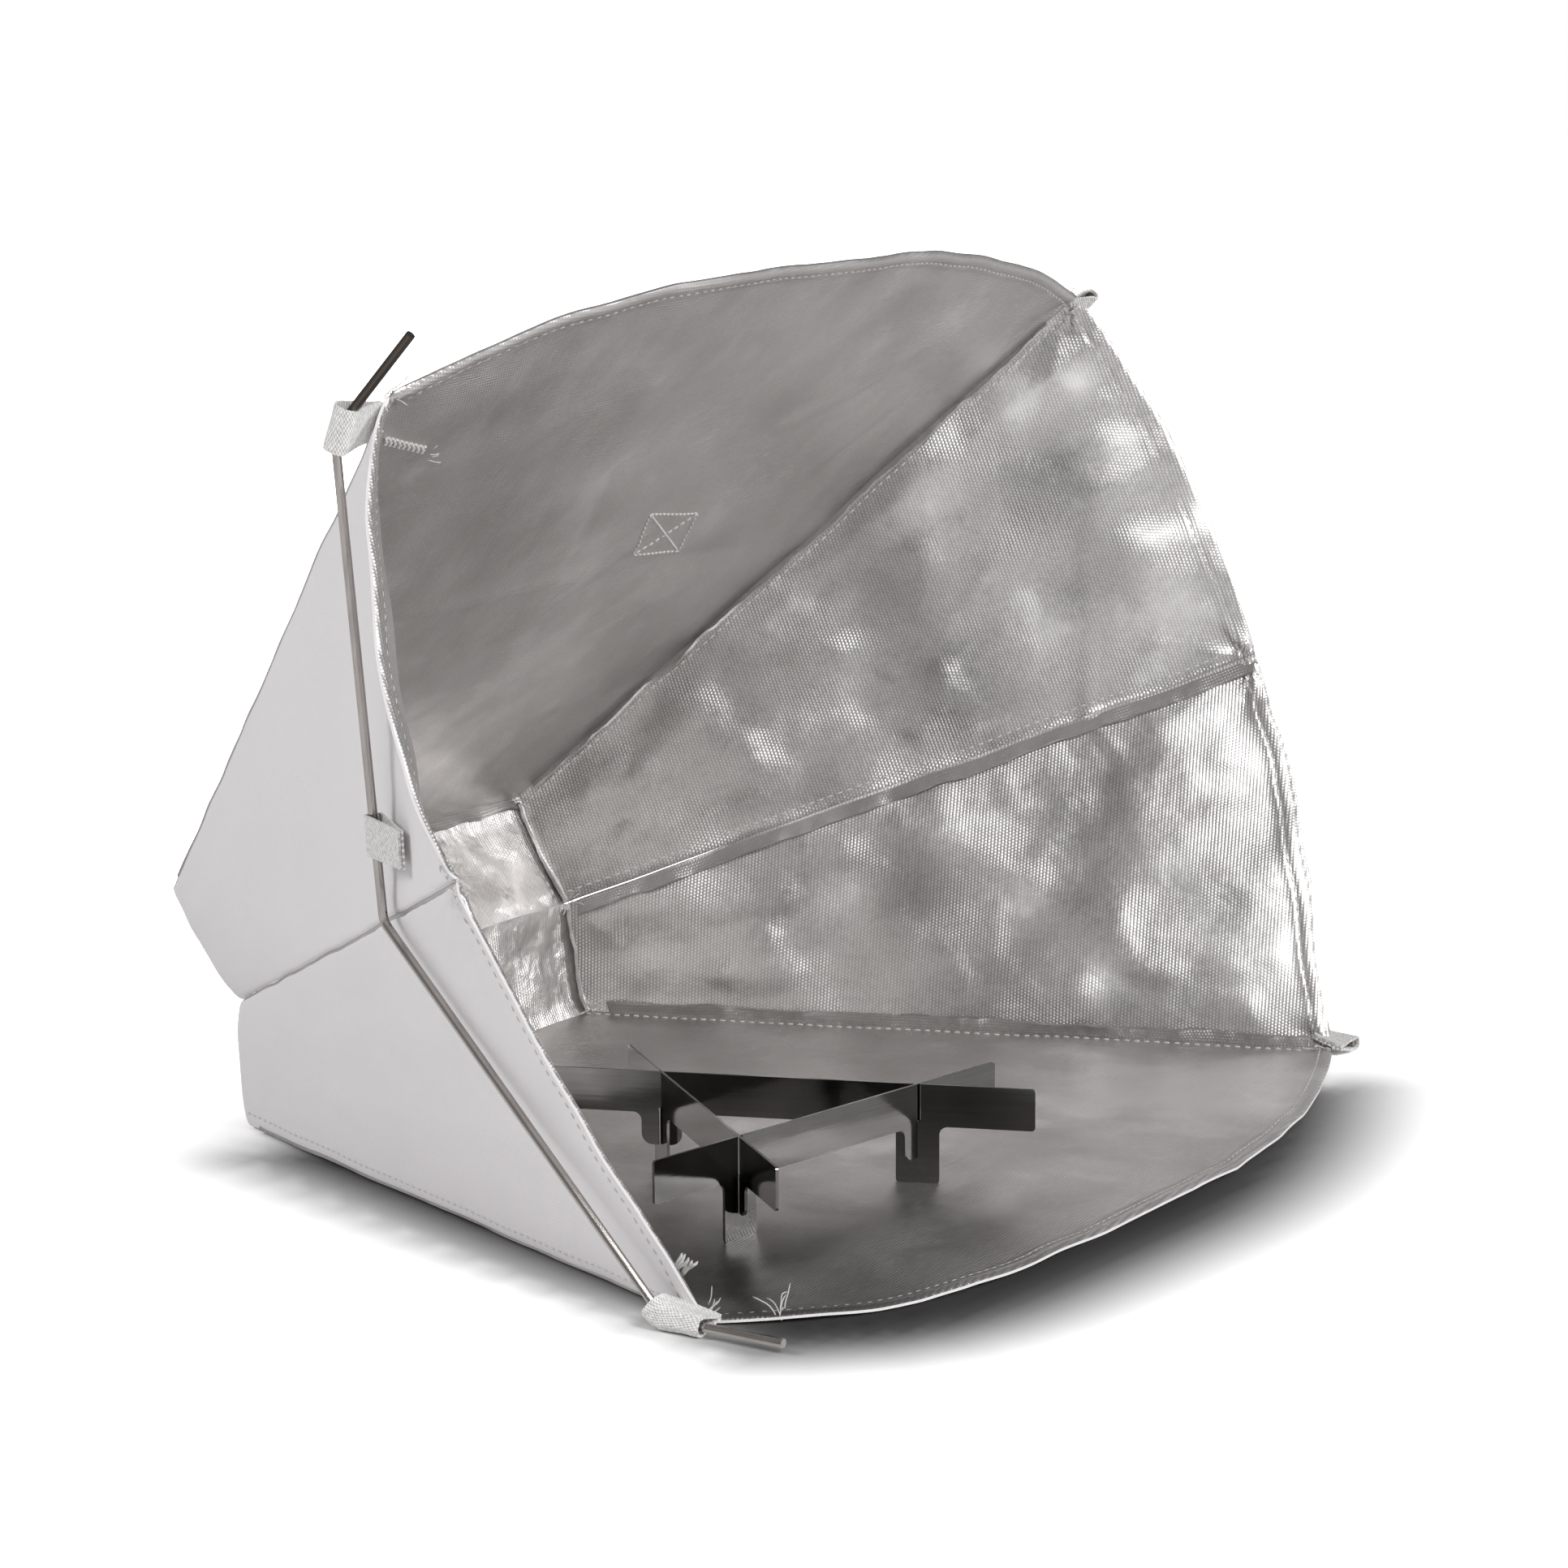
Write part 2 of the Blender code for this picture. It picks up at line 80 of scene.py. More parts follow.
class Signal:
    """One output of a shader node. Sums on it are written as sums and add their nodes."""

    def __init__(self, finish, node, output=0):
        self.finish, self.node, self.socket = finish, node, node.outputs[output]

    def out(self, name):
        return Signal(self.finish, self.node, name)

    def math(self, operation, first, second=0.0):
        return self.finish.add("ShaderNodeMath", {"operation": operation}, {0: first, 1: second})

    def __add__(self, other):
        return self.math("ADD", self, other)

    def __sub__(self, other):
        return self.math("SUBTRACT", self, other)

    def __mul__(self, other):
        return self.math("MULTIPLY", self, other)

    def cosine(self):
        return self.math("COSINE", self)

    def floor(self):
        return self.math("FLOOR", self)

    def half_odd(self):
        """0 on even rows and a half on odd ones, which staggers the beads."""
        return self.math("MODULO", self, 2.0) * 0.5

    def clamp(self, low=0.0, high=1.0):
        return self.math("MINIMUM", self.math("MAXIMUM", self, low), high)


class Finish:
    """A material whose nodes are added one by one, each with its settings first and then its sockets."""

    def __init__(self, name, world=False):
        self.made = bpy.data.worlds.new(name) if world else bpy.data.materials.new(name)
        self.made.use_nodes = True
        self.tree = self.made.node_tree
        self.shader = self.tree.nodes.get("Background" if world else "Principled BSDF")
        self.output = self.tree.nodes.get("World Output" if world else "Material Output")

    def add(self, kind, settings=None, sockets=None, output=0):
        node = self.tree.nodes.new(kind)
        for name, value in (settings or {}).items():
            setattr(node, name, value)
        self.fill(node, sockets or {})
        return Signal(self, node, output)

    def fill(self, node, sockets):
        for name, value in sockets.items():
            if isinstance(value, Signal):
                self.tree.links.new(value.socket, node.inputs[name])
            else:
                node.inputs[name].default_value = value

    def set(self, **sockets):
        self.fill(self.shader, {name.replace("_", " "): value for name, value in sockets.items()})
        return self.made

    def mix(self, share, low, high):
        """A colour between two, by a share from 0 to 1."""
        sockets = {"Factor": share, 6: low, 7: high}
        return self.add("ShaderNodeMix", {"data_type": "RGBA"}, sockets, output=2)

    def speckle(self, place, scale, detail=2.0, **sockets):
        """Cloudy noise from 0 to 1."""
        sockets.update(Vector=place, Scale=scale, Detail=detail)
        return self.add("ShaderNodeTexNoise", None, sockets)

    def bump(self, strength, distance, height):
        sockets = {"Strength": strength, "Distance": distance, "Height": height}
        return self.add("ShaderNodeBump", None, sockets)


sky = Finish("studio", world=True)
seen = sky.add("ShaderNodeLightPath")
sky.set(Color=(1.0, 1.0, 1.0, 1.0), Strength=seen.out("Is Camera Ray") * 0.70 + 0.30)
bpy.context.scene.world = sky.made


def lamp(name, place, target, width, height, power):
    data = bpy.data.lights.new(name, "AREA")
    data.shape, data.size, data.size_y, data.energy = "RECTANGLE", width, height, power
    item = bpy.data.objects.new(name, data)
    item.location = place
    item.rotation_euler = (Vector(target) - Vector(place)).to_track_quat("-Z", "Y").to_euler()
    bpy.context.scene.collection.objects.link(item)


lamp("front_softbox", (-1.1, -2.0, 1.75), (0.0, 0.0, 0.1), 0.9, 0.8, 36.0)
lamp("right_front_softbox", (1.0, -1.9, 0.9), (0.0, 0.0, 0.1), 0.6, 0.7, 16.0)
lamp("rear_softbox", (-1.30, 1.00, 1.30), (0.0, 0.0, 0.0), 0.7, 0.7, 13.5)

# Glass cloth, aluminised on the side that faces the fire. Its yarns lie in fine rows of beads, about
# 1.3 mm apart, that print through the metal film. The outside keeps the bare cloth's pale grey.
BEAD_PITCH, ROW_PITCH = 0.00125, 0.00135


def yarn_beads(finish):
    """The height of the cloth's yarns from 0 to 1, and the panel's own flat coordinates."""
    cut = finish.add("ShaderNodeUVMap", {"uv_map": "cut"})
    place = finish.add("ShaderNodeSeparateXYZ", None, {0: cut})
    row = place.out("X") * (1 / ROW_PITCH)
    bead = place.out("Y") * (1 / BEAD_PITCH) + row.floor().half_odd()
    ridge = (row * (2 * math.pi) + math.pi).cosine() * 0.5 + 0.5
    swell = (bead * (2 * math.pi)).cosine() * 0.5 + 0.5
    return ridge * (swell * 0.75 + 0.25), cut


def inside_cloth(name, dark, light, weave, dents, highlight_paint, size=42.0):
    """The metal film over the yarns, with painted light: its dents and given places are painted near-white as
    highlights, and other given places near black as painted shade and dark reflections.
    """
    finish = Finish(name)
    yarn, cut = yarn_beads(finish)
    # Painted light read from the mesh: painted highlight where positive, painted shade where negative. It also lifts
    # or lowers the tone.
    painted_light = finish.add("ShaderNodeAttribute", {"attribute_name": "painted_light"}, output="Fac")
    patch = finish.speckle(cut, 22.0, 3.0, Roughness=0.6)
    dent = finish.speckle(cut, size, Distortion=0.15)
    fine = finish.speckle(cut, 420.0)
    shows = ((patch - 0.36) * 3.2).clamp(0.35, 1.0)
    tone = (yarn - 0.35) * shows * weave + (patch - 0.5) * 1.1 + (fine - 0.5) * 0.35 + 0.42 + painted_light * 0.30
    tone = tone.clamp()
    # Painted highlights: the colour turns near-white where the dents and the painted light meet.
    painted_glint = ((dent * 0.6 + patch * 0.5 - 0.64 + painted_light * 0.11) * 6.0).clamp()
    painted_highlight = painted_glint * (yarn * 0.35 + 0.75).clamp() * highlight_paint
    # Painted shade: the colour goes near black where the painted light is negative.
    painted_dark = (painted_light * -0.8).clamp(0.0, 0.85)
    colour = finish.mix(tone, (dark, dark * 0.965, dark * 0.945, 1.0), (light, light * 0.975, light * 0.965, 1.0))
    colour = finish.mix(painted_highlight, colour, (0.97, 0.965, 0.96, 1.0))
    colour = finish.mix(painted_dark, colour, (0.06, 0.058, 0.056, 1.0))
    bump = finish.bump(0.6, 0.0012, dent * dents + yarn * shows * 0.22 + fine * 0.10)
    rough = (patch * 0.22 + 0.20 + fine * 0.10).clamp(0.18, 0.6)
    return finish.set(Base_Color=colour, Metallic=0.88, Roughness=rough, Normal=bump)


def outside_cloth(name):
    """The bare glass cloth, matt, with its ribs just to be seen."""
    finish = Finish(name)
    yarn, cut = yarn_beads(finish)
    patch = finish.speckle(cut, 14.0, 3.0)
    tone = (yarn * 0.35 + patch * 0.6).clamp()
    colour = finish.mix(tone, (0.77, 0.745, 0.755, 1.0), (0.85, 0.825, 0.835, 1.0))
    bump = finish.bump(0.25, 0.0002, yarn)
    return finish.set(Base_Color=colour, Roughness=0.78, Normal=bump, Specular_IOR_Level=0.3)


OUTSIDE = outside_cloth("glass_cloth_outside")
# One metal film in lit and shaded copies: each panel's dark and light levels and painted highlight are set to the
# light it gets, so the top and the seam edges carry painted shade and the back painted light.
INSIDE = inside_cloth("metallised_inside", 0.35, 0.86, 1.6, 1.0, 0.80, 50.0)
INSIDE_TOP_SHADED = inside_cloth("metallised_top", 0.41, 0.71, 0.75, 0.70, 0.24)
INSIDE_BACK_LIT = inside_cloth("metallised_back", 0.50, 0.97, 0.60, 2.2, 1.0, 90.0)
INSIDE_FLOOR = inside_cloth("metallised_floor", 0.46, 0.92, 1.1, 0.7, 0.7)
INSIDE_SEAM_SHADED = inside_cloth("metallised_seam_edge", 0.36, 0.66, 0.8, 0.6, 0.1)

# The eight panels meet in seams that all aim at one line behind the oven. Each seam is a curve shared by
# the panels on its two sides, so the cloth stays joined. Every seam is a little wavy from the needle.
MOUTH_Y = -0.13136
CORNERS = {
    "mouth_floor": (0.2100, MOUTH_Y, 0.0006),
    "mouth_middle": (0.2568, MOUTH_Y + 0.0611, 0.1460),
    "mouth_top": (0.2120, MOUTH_Y + 0.1206, 0.2905),
    "back_floor": (0.1050, MOUTH_Y + 0.2815, 0.0006),
    "back_middle": (0.1000, MOUTH_Y + 0.2880, 0.0462),
    "back_top": (0.1045, MOUTH_Y + 0.3160, 0.0862),
}
RIGHT_FULLER = {"mouth_floor": 0.004, "mouth_middle": 0.002, "mouth_top": 0.004}
SIDES = ((-1, "left"), (1, "right"))
LEVELS = ("floor", "middle", "top")
TOP_SLOPE = math.radians(46)
TOP_NORMAL = np.array(Vector((0.0, math.sin(TOP_SLOPE), math.cos(TOP_SLOPE))))


def corner(place, side):
    """A corner of the wedge. Those on the right of the mouth stand a little further out."""
    x, y, z = CORNERS[place]
    return np.array((side * x + (RIGHT_FULLER.get(place, 0.0) if side > 0 else 0.0), y, z))


# The vector noise starts from the clock unless it has a seed, and the oven has to come out the same each time.
noise.seed_set(11)


def ripple(seed, steps, size, amount):
    """A smooth wander in three directions for each step of a line, the same each time for the same seed."""
    return np.array([noise.noise_vector(Vector((s / size, seed * 7.31, seed * 3.17))) for s in steps]) * amount


class Seam:
    """A line of stitching between two corners, bowed by the pull of the cloth."""

    def __init__(self, start, end, seed, bow=(0, 0, 0), waver=0.0009, size=0.028):
        self.start, self.end, self.seed = start, end, seed
        self.bow, self.waver, self.size = np.array(bow), waver, size
        self.length = float(np.linalg.norm(end - start))

    def __call__(self, shares):
        shares = np.asarray(shares, float)
        line = self.start + np.outer(shares, self.end - self.start)
        line += np.outer(4 * shares * (1 - shares), self.bow)
        ends = np.clip(8 * shares * (1 - shares), 0, 1)[:, None]
        return line + ends * ripple(self.seed, shares * self.length, self.size, self.waver)


class Lip(Seam):
    """The front edge of the floor or the top, cut round and fuller towards its left end."""

    def __init__(self, level_name, seed, forward, depth, left_power, droop):
        ends = (corner(f"mouth_{level_name}", side) for side in (-1, 1))
        super().__init__(*ends, seed, waver=0.0011, size=0.034)
        self.forward, self.depth, self.left_power, self.droop = np.array(forward), depth, left_power, droop

    def __call__(self, shares):
        line = super().__call__(shares)
        shares = np.asarray(shares, float)
        off = np.abs(2 * shares - 1)
        reach = 1 - off ** np.where(shares < 0.5, self.left_power, 2.0)
        line += np.outer(reach * self.depth, self.forward)
        line[:, 2] -= self.droop * (1 - off**2)
        return line


LIP_DEPTH, LIP_POWER = 0.0545, 5.6
FLARES = {
    ("left", "floor"): (-0.005, 0.002, 0.0), ("left", "middle"): (-0.019, 0.002, 0.0),
    ("right", "floor"): (0.014, -0.004, 0.0), ("right", "middle"): (0.012, -0.004, 0.0),
}
seams, posts, edges = {}, {}, {}
for side, word in SIDES:
    mouth, back = ([corner(f"{end}_{name}", side) for name in LEVELS] for end in ("mouth", "back"))
    for k, name in enumerate(LEVELS):
        waver = 0.0006 if name == "floor" else 0.0012
        seams[word, name] = Seam(mouth[k], back[k], 3 + k + 5 * side, waver=waver)
    for k, low in enumerate(LEVELS[:2]):
        edges[word, low] = Seam(mouth[k], mouth[k + 1], 21 + k + 3 * side, waver=0.0011, size=0.024)
        posts[word, low] = Seam(back[k], back[k + 1], 31 + k + 3 * side, (0, 0.002, 0), 0.0010, 0.016)
creases = {
    name: Seam(corner(f"back_{name}", -1), corner(f"back_{name}", 1), 41 + k, waver=0.0005)
    for k, name in enumerate(LEVELS)
}
floor_lip = Lip("floor", 51, (0, -1, 0), LIP_DEPTH, LIP_POWER, 0.0)
top_lip = Lip("top", 52, (0, -math.cos(TOP_SLOPE), math.sin(TOP_SLOPE)), 0.0485, 3.0, 0.0045)

# The oven stands on white paper. The photograph's shadow is deep and short, thrown towards the camera, so
# a painted shadow greys the paper the camera sees by its distance from the floor's outline, and it burns out to white
# beyond.
PAPER_LEVEL, LIP_HALF = -0.0006, 0.198
OUTLINE_SHIFT = np.array((-0.031, -0.032))
FALL = (-0.030, -0.017, -0.007, 0.003, 0.018, 0.026, 0.034, 0.044, 0.058, 0.075, 0.110, 0.160)
PAINTED_SHADOW_TONE = (0.045, 0.090, 0.28, 0.56, 1.04, 1.30, 1.50, 1.70, 1.95, 2.30, 4.5, 9.0)


def grid_faces(rows, columns):
    """The quads of a grid, and those of the rim that joins it to a second grid listed after it."""
    index = np.arange(rows * columns).reshape(rows, columns)
    front = np.stack((index[:-1, :-1], index[:-1, 1:], index[1:, 1:], index[1:, :-1]), -1).reshape(-1, 4)
    rim = np.concatenate((index[0], index[1:, -1], index[-1, -2::-1], index[-2:0:-1, 0]))
    after, extra = np.roll(rim, -1), rows * columns
    return front, np.stack((rim, rim + extra, after + extra, after), -1)


def new_item(name, points, faces, *finishes):
    """A mesh with its finishes, put in the scene."""
    mesh = bpy.data.meshes.new(name)
    mesh.from_pydata(points, [], faces)
    for finish in finishes:
        mesh.materials.append(finish)
    item = bpy.data.objects.new(name, mesh)
    bpy.context.scene.collection.objects.link(item)
    return item


lip = [
    (LIP_HALF * k, MOUTH_Y - LIP_DEPTH * (1 - abs(k) ** (LIP_POWER if k < 0 else 2)))
    for k in np.linspace(-0.95, 0.95, 20)
]
back_left, back_right = (corner("back_floor", side)[:2] for side in (-1, 1))
outline = np.array((back_left, (-LIP_HALF, MOUTH_Y), *lip, (LIP_HALF, MOUTH_Y), back_right)) + OUTLINE_SHIFT
lines = np.concatenate(((-6.0, -2.0, -1.0), np.linspace(-0.6, 0.6, 161), (1.0, 2.0, 6.0)))
spots = np.stack(np.meshgrid(lines, lines), -1)
along_edge = np.roll(outline, -1, axis=0) - outline
out_of_edge = np.stack((-along_edge[:, 1], along_edge[:, 0]), -1)
out_of_edge /= np.linalg.norm(along_edge, axis=1, keepdims=True)
out_of_edge *= np.sign(((outline - outline.mean(0)) * out_of_edge).sum(1))[:, None]
beyond = ((spots[:, :, None] - outline) * out_of_edge).sum(-1).max(-1)
finer = (outline[:, None] + np.linspace(0, 1, 12, endpoint=False)[:, None] * along_edge[:, None]).reshape(-1, 2)
near = np.array([np.linalg.norm(row[:, None] - finer, axis=-1).min(-1) for row in spots])
beyond = np.where(beyond > 0.003, near, beyond)
paper = Finish("white_paper")
paper.tree.nodes.remove(paper.shader)
seen = paper.add("ShaderNodeLightPath")
painted_shadow = paper.add("ShaderNodeAttribute", {"attribute_name": "tone"}).out("Color")
# Camera rays see the painted shadow; all other rays see plain white paper.
white = paper.mix(seen.out("Is Camera Ray"), (0.86, 0.86, 0.86, 1.0), painted_shadow)
paper.fill(paper.output, {"Surface": paper.add("ShaderNodeBsdfDiffuse", None, {"Color": white})})
paper_points = [(x, y, PAPER_LEVEL) for x, y in spots.reshape(-1, 2)]
ground = new_item("paper", paper_points, grid_faces(len(lines), len(lines))[0].tolist(), paper.made)
# The painted shadow: the paper's colour for camera rays by distance beyond the shifted outline, dark close to it and
# white far away.
tone = np.interp(beyond, FALL, PAINTED_SHADOW_TONE).astype(np.float32)
ground.data.attributes.new("tone", "FLOAT", "POINT").data.foreach_set("value", tone.reshape(-1))

# The cloth itself is cut in panels and kept as closed sheets, with a hem turned to the inside along the
# mouth: two more layers for 7 mm, sewn down with one row. Handling has crumpled the stiff film.
CLOTH, PINCH, PINCH_DEPTH = 0.0009, 0.0014, 0.0011
HEM_PLACES = np.array((0.0, 0.0007, 0.0019, 0.0034, 0.0047, 0.0054, 0.0060, 0.0068, 0.0078, 0.0092))
HEM_THICKNESS = np.array((0.0009, 0.0017, 0.0021, 0.0020, 0.0018, 0.0013, 0.0016, 0.0013, 0.0010, 0.0009))


def patch(near, far, low, high, rows, columns):
    """A smooth surface between four curves. Rows run from the mouth to the back."""
    v, u = rows[:, None, None], columns[None, :, None]
    surface = (1 - v) * near(columns)[None] + v * far(columns)[None]
    surface = surface + (1 - u) * low(rows)[:, None] + u * high(rows)[:, None]
    first, last = near((0.0, 1.0)), far((0.0, 1.0))
    surface -= (1 - v) * ((1 - u) * first[0] + u * first[1]) + v * ((1 - u) * last[0] + u * last[1])
    return surface


def crumple(points, seed, layers):
    """How far each point of a panel is pushed in or out by the dents and creases of handling."""
    flat = points.reshape(-1, 3)
    push = np.zeros(len(flat))
    for k, (size, amount, sharp) in enumerate(layers):
        shift = Vector((seed * 1.7 + k * 9.1, seed * 0.9, k * 4.3))
        found = np.array([noise.noise(Vector(p) / size + shift) for p in flat])
        push += amount * (sharp * (0.35 - 2.0 * np.abs(found)) + (1 - sharp) * 1.6 * found)
    return push.reshape(points.shape[:2])


def unit_normals(grid):
    """The unit normals of a grid, on the side that its rows and columns give."""
    normal = np.cross(np.gradient(grid, axis=1), np.gradient(grid, axis=0))
    return normal / np.maximum(np.linalg.norm(normal, axis=2, keepdims=True), 1e-12)


def facing(grid, outward):
    """The unit normal at each point of a grid, turned to the outside."""
    normal = unit_normals(grid)
    return normal if float((normal @ np.array(outward)).mean()) > 0 else -normal


def walked(points, axis):
    """How far each point of a line or grid lies from the first, along the cloth."""
    steps = np.linalg.norm(np.diff(points, axis=axis), axis=-1)
    return np.insert(np.cumsum(steps, axis=axis), 0, 0.0, axis=axis)


def point_at(place, knots, line):
    """The point of a line at one place between its knots."""
    return np.array([np.interp(place, knots, line[:, k]) for k in range(3)])


class Faces:
    """The inside or the outside of a sheet: its points, and the way it faces at each."""

    def __init__(self, points, normals):
        self.points, self.normals = points, normals

    def hem(self, row=5):
        """A line along the mouth edge, by default in the needle's groove behind the hem's fold."""
        return self.points[row], self.normals[row]

    def beside(self, end, distance):
        """A line at one distance from the seam at column 0 or column -1, from the mouth to the back."""
        points, normals = (grid if end == 0 else grid[:, ::-1] for grid in (self.points, self.normals))
        gone = walked(points, 1)
        return [np.array([point_at(distance, *pair) for pair in zip(gone, grid)]) for grid in (points, normals)]


def lay_flat(mesh, faces, cut):
    """Gives a mesh the flat coordinates of its cloth."""
    mesh.uv_layers.new(name="cut").data.foreach_set("uv", cut[faces.reshape(-1)].astype(np.float32).reshape(-1))


def sheet_piece(name, grid, outward, thickness, cut_along, slots, painted_light=(), rim_slot=0):
    """A closed sheet: an outer face, an inner face and a rim. Its flat coordinates run along the warp.
    Each place of painted light is a point, a reach and how much painted highlight the film gets there, or painted
    shade if negative."""
    rows, columns = grid.shape[:2]
    normal = facing(grid, outward)
    left = walked(grid, 1)
    pinch = np.exp(-left / PINCH) + np.exp(-(left[:, -1:] - left) / PINCH)
    grid = grid - normal * (pinch * PINCH_DEPTH)[..., None]
    half = np.broadcast_to(thickness, (rows, columns))[..., None] / 2
    outer = grid + normal * np.minimum(half, CLOTH / 2)
    inner = grid - normal * (2 * half - np.minimum(half, CLOTH / 2))
    front, edge = grid_faces(rows, columns)
    faces = np.concatenate((front[:, ::-1], front + rows * columns, edge))
    points = np.concatenate((outer.reshape(-1, 3), inner.reshape(-1, 3)))
    first = points[faces[0]]
    turned = np.dot(np.cross(first[1] - first[0], first[2] - first[0]), normal[0, 0]) < 0
    faces = faces[:, ::-1] if turned else faces
    item = new_item(name, points.tolist(), faces.tolist(), *slots)
    mesh = item.data
    along = np.array(cut_along, float)
    across_warp = np.cross(normal.reshape(-1, 3).mean(0), along)
    across_warp /= np.linalg.norm(across_warp)
    along /= np.linalg.norm(along)
    flat = np.concatenate([grid.reshape(-1, 3)] * 2)
    lay_flat(mesh, faces, np.stack((flat @ across_warp, flat @ along), -1))
    # Painted light: the given places become an attribute, painted highlight where positive and painted shade where
    # negative.
    painted_light_level = np.zeros(len(flat))
    for *place, reach, amount in painted_light:
        painted_light_level += amount * np.exp(-(((flat - place) ** 2).sum(1) / reach**2))
    mesh.attributes.new("painted_light", "FLOAT", "POINT").data.foreach_set("value", painted_light_level.astype(np.float32))
    which = np.zeros(len(faces), np.int32)
    which[len(front) : 2 * len(front)] = 1
    which[2 * len(front) :] = rim_slot
    mesh.polygons.foreach_set("material_index", which)
    mesh.shade_smooth()
    mesh.set_sharp_from_angle(angle=math.radians(55))
    mesh.update()
    return item, Faces(inner, -normal), Faces(outer, normal)


def spread(length, step=0.0028, hemmed=True):
    """Shares along a panel from its mouth edge, close together over the hem."""
    if not hemmed:
        return np.linspace(0, 1, max(3, round(length / step) + 1))
    rest = np.linspace(HEM_PLACES[-1], length, round(length / step))[1:]
    return np.concatenate((HEM_PLACES, rest)) / length


def to_seams(count):
    """Shares across a panel, close together at the seam on each side."""
    return (1 - np.cos(np.linspace(0, math.pi, count))) / 2


def fade(grid, reach, hemmed=True):
    """1 inside a panel, falling to 0 at its seams."""
    left, front = walked(grid, 1), walked(grid, 0)
    sides = [left, left[:, -1:] - left, front[-1:] - front] + ([] if hemmed else [front])
    share = np.clip(np.minimum.reduce(sides) / reach, 0, 1)
    return share * share * (3 - 2 * share)


def thickness_of(rows, length, hemmed=True):
    """The cloth's thickness at each row, with its hem at the mouth."""
    return np.interp(rows * length, HEM_PLACES, HEM_THICKNESS)[:, None] if hemmed else np.full((len(rows), 1), CLOTH)


# The floor lies on the ground, flat but for shallow dents. Its film carries painted shade, a painted dark reflection,
# towards the lip's left end and at the back, and painted highlights to the right of the middle.
PANEL_DEPTH = 0.336
FLOOR_PAINTED_LIGHT = (
    (-0.170, -0.130, 0.001, 0.072, -1.30), (-0.070, -0.150, 0.001, 0.050, -0.35),
    (0.058, 0.105, 0.001, 0.050, -0.50), (0.125, -0.115, 0.001, 0.050, 3.00),
    (0.012, -0.036, 0.001, 0.034, 1.60), (0.060, -0.080, 0.001, 0.035, 0.80),
)
BY_THE_SEAMS = (0.001, 0.0025, 0.0045, 0.9955, 0.9975, 0.999)
rows, columns = spread(PANEL_DEPTH), np.unique((*np.linspace(0, 1, 140), *BY_THE_SEAMS))
grid = patch(floor_lip, creases["floor"], seams["left", "floor"], seams["right", "floor"], rows, columns)
push = crumple(grid, 1.0, ((0.10, 0.0011, 0.2), (0.045, 0.0008, 0.4), (0.018, 0.0003, 0.4)))
grid[..., 2] += (np.abs(push) + 0.0003) * fade(grid, 0.03)
thickness = thickness_of(rows, PANEL_DEPTH)
floor_cloth, floor_inside, _ = sheet_piece(
    "floor_cloth", grid, (0, 0, -1), thickness, (1, 0.12, 0), (OUTSIDE, INSIDE_FLOOR), FLOOR_PAINTED_LIGHT
)
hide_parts("floor_panel")
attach(floor_cloth, "floor")

# The top slopes from the back up to the mouth. It is the same cut as the floor, and droops in the middle.
# Packing has left a few long soft creases in it, most of them near the tab that is sewn on outside.
TOP_FOLDS = (
    ((-0.140, 0.079, 0.197), (0.034, 0.077, 0.199), -0.0011),
    ((0.034, 0.077, 0.199), (0.121, 0.079, 0.197), 0.0009),
    ((-0.006, 0.076, 0.200), (-0.036, 0.030, 0.247), 0.0010),
    ((0.034, 0.060, 0.216), (-0.030, 0.110, 0.166), -0.0009),
    ((0.060, 0.028, 0.249), (0.140, -0.010, 0.289), -0.0008),
    ((-0.100, 0.150, 0.126), (0.020, 0.110, 0.166), 0.0008),
    ((0.165, 0.010, 0.270), (0.120, 0.055, 0.222), 0.0010),
)
# Painted highlights on the top's film, one of them along a fold, and two faint patches of painted shade.
TOP_PAINTED_LIGHT = (
    (0.010, 0.145, 0.130, 0.050, 1.7), (0.033, 0.119, 0.156, 0.026, 0.8), (0.192, 0.004, 0.275, 0.028, 1.2),
    (0.128, 0.010, 0.269, 0.040, 0.5), (-0.037, 0.037, 0.241, 0.018, 0.9), (-0.009, 0.018, 0.260, 0.022, 0.6),
    (-0.004, 0.075, 0.202, 0.018, 0.8), (-0.1645, 0.0185, 0.2602, 0.0055, 1.1),
    (-0.089, 0.046, 0.232, 0.045, -0.12), (0.111, 0.043, 0.234, 0.045, -0.12),
)


def gathers(grid, place, reach, height, seed):
    """The small pleats that run out from a bunched corner."""
    away = grid - place
    far = np.linalg.norm(away, axis=-1)
    turn = np.arctan2(away[..., 2] * 0.7 + away[..., 1], away[..., 0] + 1e-9)
    return height * np.exp(-far / reach) * np.clip(far / 0.004, 0, 1) * np.sin(turn * 17 + seed)


def folds(grid, lines, width):
    """The push of sharp-backed creases, each a line between two points with its own height."""
    push = np.zeros(grid.shape[:2])
    for start, end, height in lines:
        start, step = np.array(start), np.array(end) - np.array(start)
        share = ((grid - start) @ step) / (step @ step)
        off = np.linalg.norm(grid - start - np.clip(share, 0, 1)[..., None] * step, axis=-1)
        push += height * np.exp(-off / width) * np.sin(np.clip(share, 0, 1) * math.pi) ** 0.5
    return push


grid = patch(top_lip, creases["top"], seams["left", "top"], seams["right", "top"], rows, columns)
push = crumple(grid, 2.0, ((0.090, 0.0016, 0.2), (0.040, 0.0010, 0.35), (0.017, 0.00035, 0.4)))
push = (push + folds(grid, TOP_FOLDS, 0.0032) * 1.5) * fade(grid, 0.03)
for side in (-1, 1):
    push += gathers(grid, corner("mouth_top", side), 0.022, 0.0016, side) * fade(grid, 0.005)
grid += push[..., None] * TOP_NORMAL
thickness = thickness_of(rows, 0.33)
top_cloth, top_inside, top_outside = sheet_piece(
    "top_cloth", grid, TOP_NORMAL, thickness, (1, -0.08, 0.08), (OUTSIDE, INSIDE_TOP_SHADED), TOP_PAINTED_LIGHT, 1
)
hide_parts("top_panel")
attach(top_cloth, "top")

